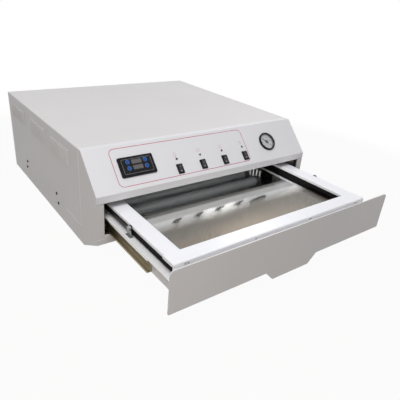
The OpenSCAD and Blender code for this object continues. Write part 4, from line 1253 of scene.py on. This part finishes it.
@dataclass
class Gauge:
    """The vacuum gauge with its dial's divisions and figures."""

    slope: Slope
    finishes: Finishes = (
        (Paint.BLACK_PLASTIC, ("gauge_case",)),
        (Paint.DIAL, ("gauge_dial",)),
        (Paint.INK, ("gauge_needle",)),
        (Paint.LENS, ("gauge_lens",)),
    )
    middle: Point2 = (0.178, 0.0469)
    dial_out: float = -0.0008
    dial_r: float = 0.0191
    first: float = 225.0
    last: float = -45.0
    divisions: int = 30
    every: int = 5
    long_mark: Point2 = (0.0026, 0.0005)
    short_mark: Point2 = (0.0014, 0.0003)
    margin: float = 0.0012
    figures: tuple[str, ...] = ("0", "2", "4", "6", "8", "10")
    figures_in: float = 0.0062
    figure_pitch: float = 0.0018
    thick: float = 0.00018

    def build(self) -> None:
        """Dresses the gauge and adds its printed divisions."""
        dress(self.finishes)
        self._divisions()
        self._figures()

    def _divisions(self) -> None:
        """Adds the fine division marks round the dial."""
        shape = Shape("gauge_divisions")
        for i in range(self.divisions + 1):
            turn = self.first + (self.last - self.first) * i / self.divisions
            length, wide = self.long_mark if i % self.every == 0 else self.short_mark
            at = self.slope.frame_at(*self.middle, self.dial_out, turn)
            at = at @ Matrix.Translation((self.dial_r - self.margin - length / 2, 0, 0))
            shape.mark(rectangle(length, wide), self.thick, at)
        shape.piece(Paint.INK, "cabinet", "dial_white")

    def _figures(self) -> None:
        """Adds the dial's figures, spread evenly from the first mark to the last."""
        digit = Digit(height=0.0022, width=0.0012, stroke=0.00035)
        shape = Shape("gauge_figures")
        radius = self.dial_r - self.figures_in
        for i, figures in enumerate(self.figures):
            share = i / (len(self.figures) - 1)
            turn = math.radians(self.first + (self.last - self.first) * share)
            for k, figure in enumerate(figures):
                shift = (k - (len(figures) - 1) / 2) * self.figure_pitch
                for (x, y), w, h in digit.bars(figure):
                    at = self.slope.frame_at(
                        self.middle[0] + radius * math.cos(turn) + shift + x,
                        self.middle[1] + radius * math.sin(turn) + y, self.dial_out,
                    )
                    shape.mark(rectangle(w, h), self.thick, at)
        shape.piece(Paint.INK, "cabinet", "dial_white")


@dataclass(frozen=True)
class SoftBox:
    """An area light that hangs at one place and points at another."""

    name: str
    at: Point3
    to: Point3
    width: float
    height: float
    power: float
    tone: Tone = (1.0, 1.0, 1.0)

    def hang(self) -> None:
        """Adds the light to the scene."""
        data = bpy.data.lights.new(self.name, "AREA")
        data.shape = "RECTANGLE"
        data.size = self.width
        data.size_y = self.height
        data.energy = self.power
        data.color = self.tone
        lamp = bpy.data.objects.new(self.name, data)
        bpy.context.scene.collection.objects.link(lamp)
        lamp.location = self.at
        lamp.rotation_euler = (Vector(self.to) - Vector(self.at)).to_track_quat("-Z", "Y").to_euler()


@dataclass
class Studio:
    """A pale floor, soft lights and the camera at the photograph's place."""

    camera_at: Point3 = (-0.5608, -0.6420, 0.4929)
    turn: Point3 = (1.9816, -0.5864, 0.4573)
    lens: float = 37.5
    sensor: float = 36.0
    shift: Point2 = (0.0247, -0.0008)
    floor_half: float = 12.0
    floor_z: float = -0.0006
    floor_cloud: float = 30.0
    floor_near: float = 0.9
    floor_far: float = 4.0
    glow_share: float = 0.955
    floor_light: Tone = (0.29, 0.262, 0.237)
    floor_dark: Tone = (0.27, 0.244, 0.22)
    low_light: Tone = (0.085, 0.077, 0.071)
    high_light: Tone = (0.40, 0.41, 0.45)
    boxes: tuple[SoftBox, ...] = (
        SoftBox("light_top", (-0.55, -0.80, 1.95), (-0.05, -0.05, 0.1), 1.4, 1.0, 24.5),
        SoftBox(
            "light_front", (-0.95, -1.0, 0.3), (-0.25, -0.4, 0.08), 0.4, 0.4, 2.5,
            tone=(1.0, 0.95, 0.90),
        ),
        SoftBox("light_back", (1.13, 0.70, 1.36), (0.065, -0.133, 0.177), 0.20, 0.15, 4.5),
    )

    def build(self) -> None:
        """Sets up the floor, the world, the lights and the camera."""
        self._floor()
        self._world()
        for box in self.boxes:
            box.hang()
        self._camera()
        bpy.context.scene.view_settings.view_transform = "Standard"

    def _floor(self) -> None:
        """Adds the pale floor, which shows near white and keeps the shadow."""
        shape = bmesh.new()
        h = self.floor_half
        corners = ((-h, -h), (h, -h), (h, h), (-h, h))
        shape.faces.new([shape.verts.new((x, y, self.floor_z)) for x, y in corners])
        data = bpy.data.meshes.new("floor")
        shape.to_mesh(data)
        shape.free()
        floor = bpy.data.objects.new("floor", data)
        bpy.context.scene.collection.objects.link(floor)
        bench = Bench(bpy.data.materials.new("floor_white"))
        where = bench.place()
        x, y, _ = bench.parts(where)
        far = (x * x + y * y).root().ramp(self.floor_near, self.floor_far)
        cloud = bench.noise(where, self.floor_cloud, 3.0)
        colour = bench.blend(cloud, self.floor_light, self.floor_dark)
        plain = bench.node("ShaderNodeBsdfDiffuse", None, {"Color": colour})
        glow = bench.node("ShaderNodeEmission", None, {"Color": (1.0, 1.0, 1.0), "Strength": 1.0})
        share = bench.shown() * (self.glow_share + far).least(1.0)
        floor.data.materials.append(bench.mixed(share, plain, glow))

    def _world(self) -> None:
        """Sets a plain light, warm low down and cool overhead, behind a white backdrop."""
        world = bpy.data.worlds.new("studio")
        bpy.context.scene.world = world
        bench = Bench(world)
        _, _, height = bench.parts(bench.value("ShaderNodeTexCoord", None, None, "Generated"))
        tint = bench.blend(height.most(0.0), self.low_light, self.high_light)
        light = bench.node("ShaderNodeBackground", None, {"Color": tint, "Strength": 1.0})
        white = bench.node("ShaderNodeBackground", None, {"Color": (1.0, 1.0, 1.0), "Strength": 1.0})
        bench.mixed(bench.shown(), light, white)

    def _camera(self) -> None:
        """Adds the camera at the photograph's place."""
        foot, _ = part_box("chassis")
        front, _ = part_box("control_panel")
        data = bpy.data.cameras.new("camera")
        data.lens = self.lens
        data.sensor_width = self.sensor
        data.shift_x, data.shift_y = self.shift
        camera = bpy.data.objects.new("camera", data)
        bpy.context.scene.collection.objects.link(camera)
        axis = Vector(self.turn)
        seen = Quaternion(axis.normalized(), axis.length).to_matrix()
        camera.matrix_world = (
            Matrix.Translation(Vector(self.camera_at) + Vector((0.0, front.y, foot.z)))
            @ (seen.transposed() @ Matrix.Diagonal((1.0, -1.0, -1.0))).to_4x4()
        )
        bpy.context.scene.camera = camera


def main() -> None:
    """Builds the whole scene in order."""
    logging.basicConfig(level=logging.INFO, format="%(message)s")
    slope = Slope()
    for part in (
        Studio(), Cabinet(), Seams(), Slides(), Drawer(), Lid(), ControlPanel(slope),
        Timer(slope), Rockers(slope), Gauge(slope),
    ):
        log.info("building %s", type(part).__name__)
        part.build()


if __name__ == "__main__":
    main()
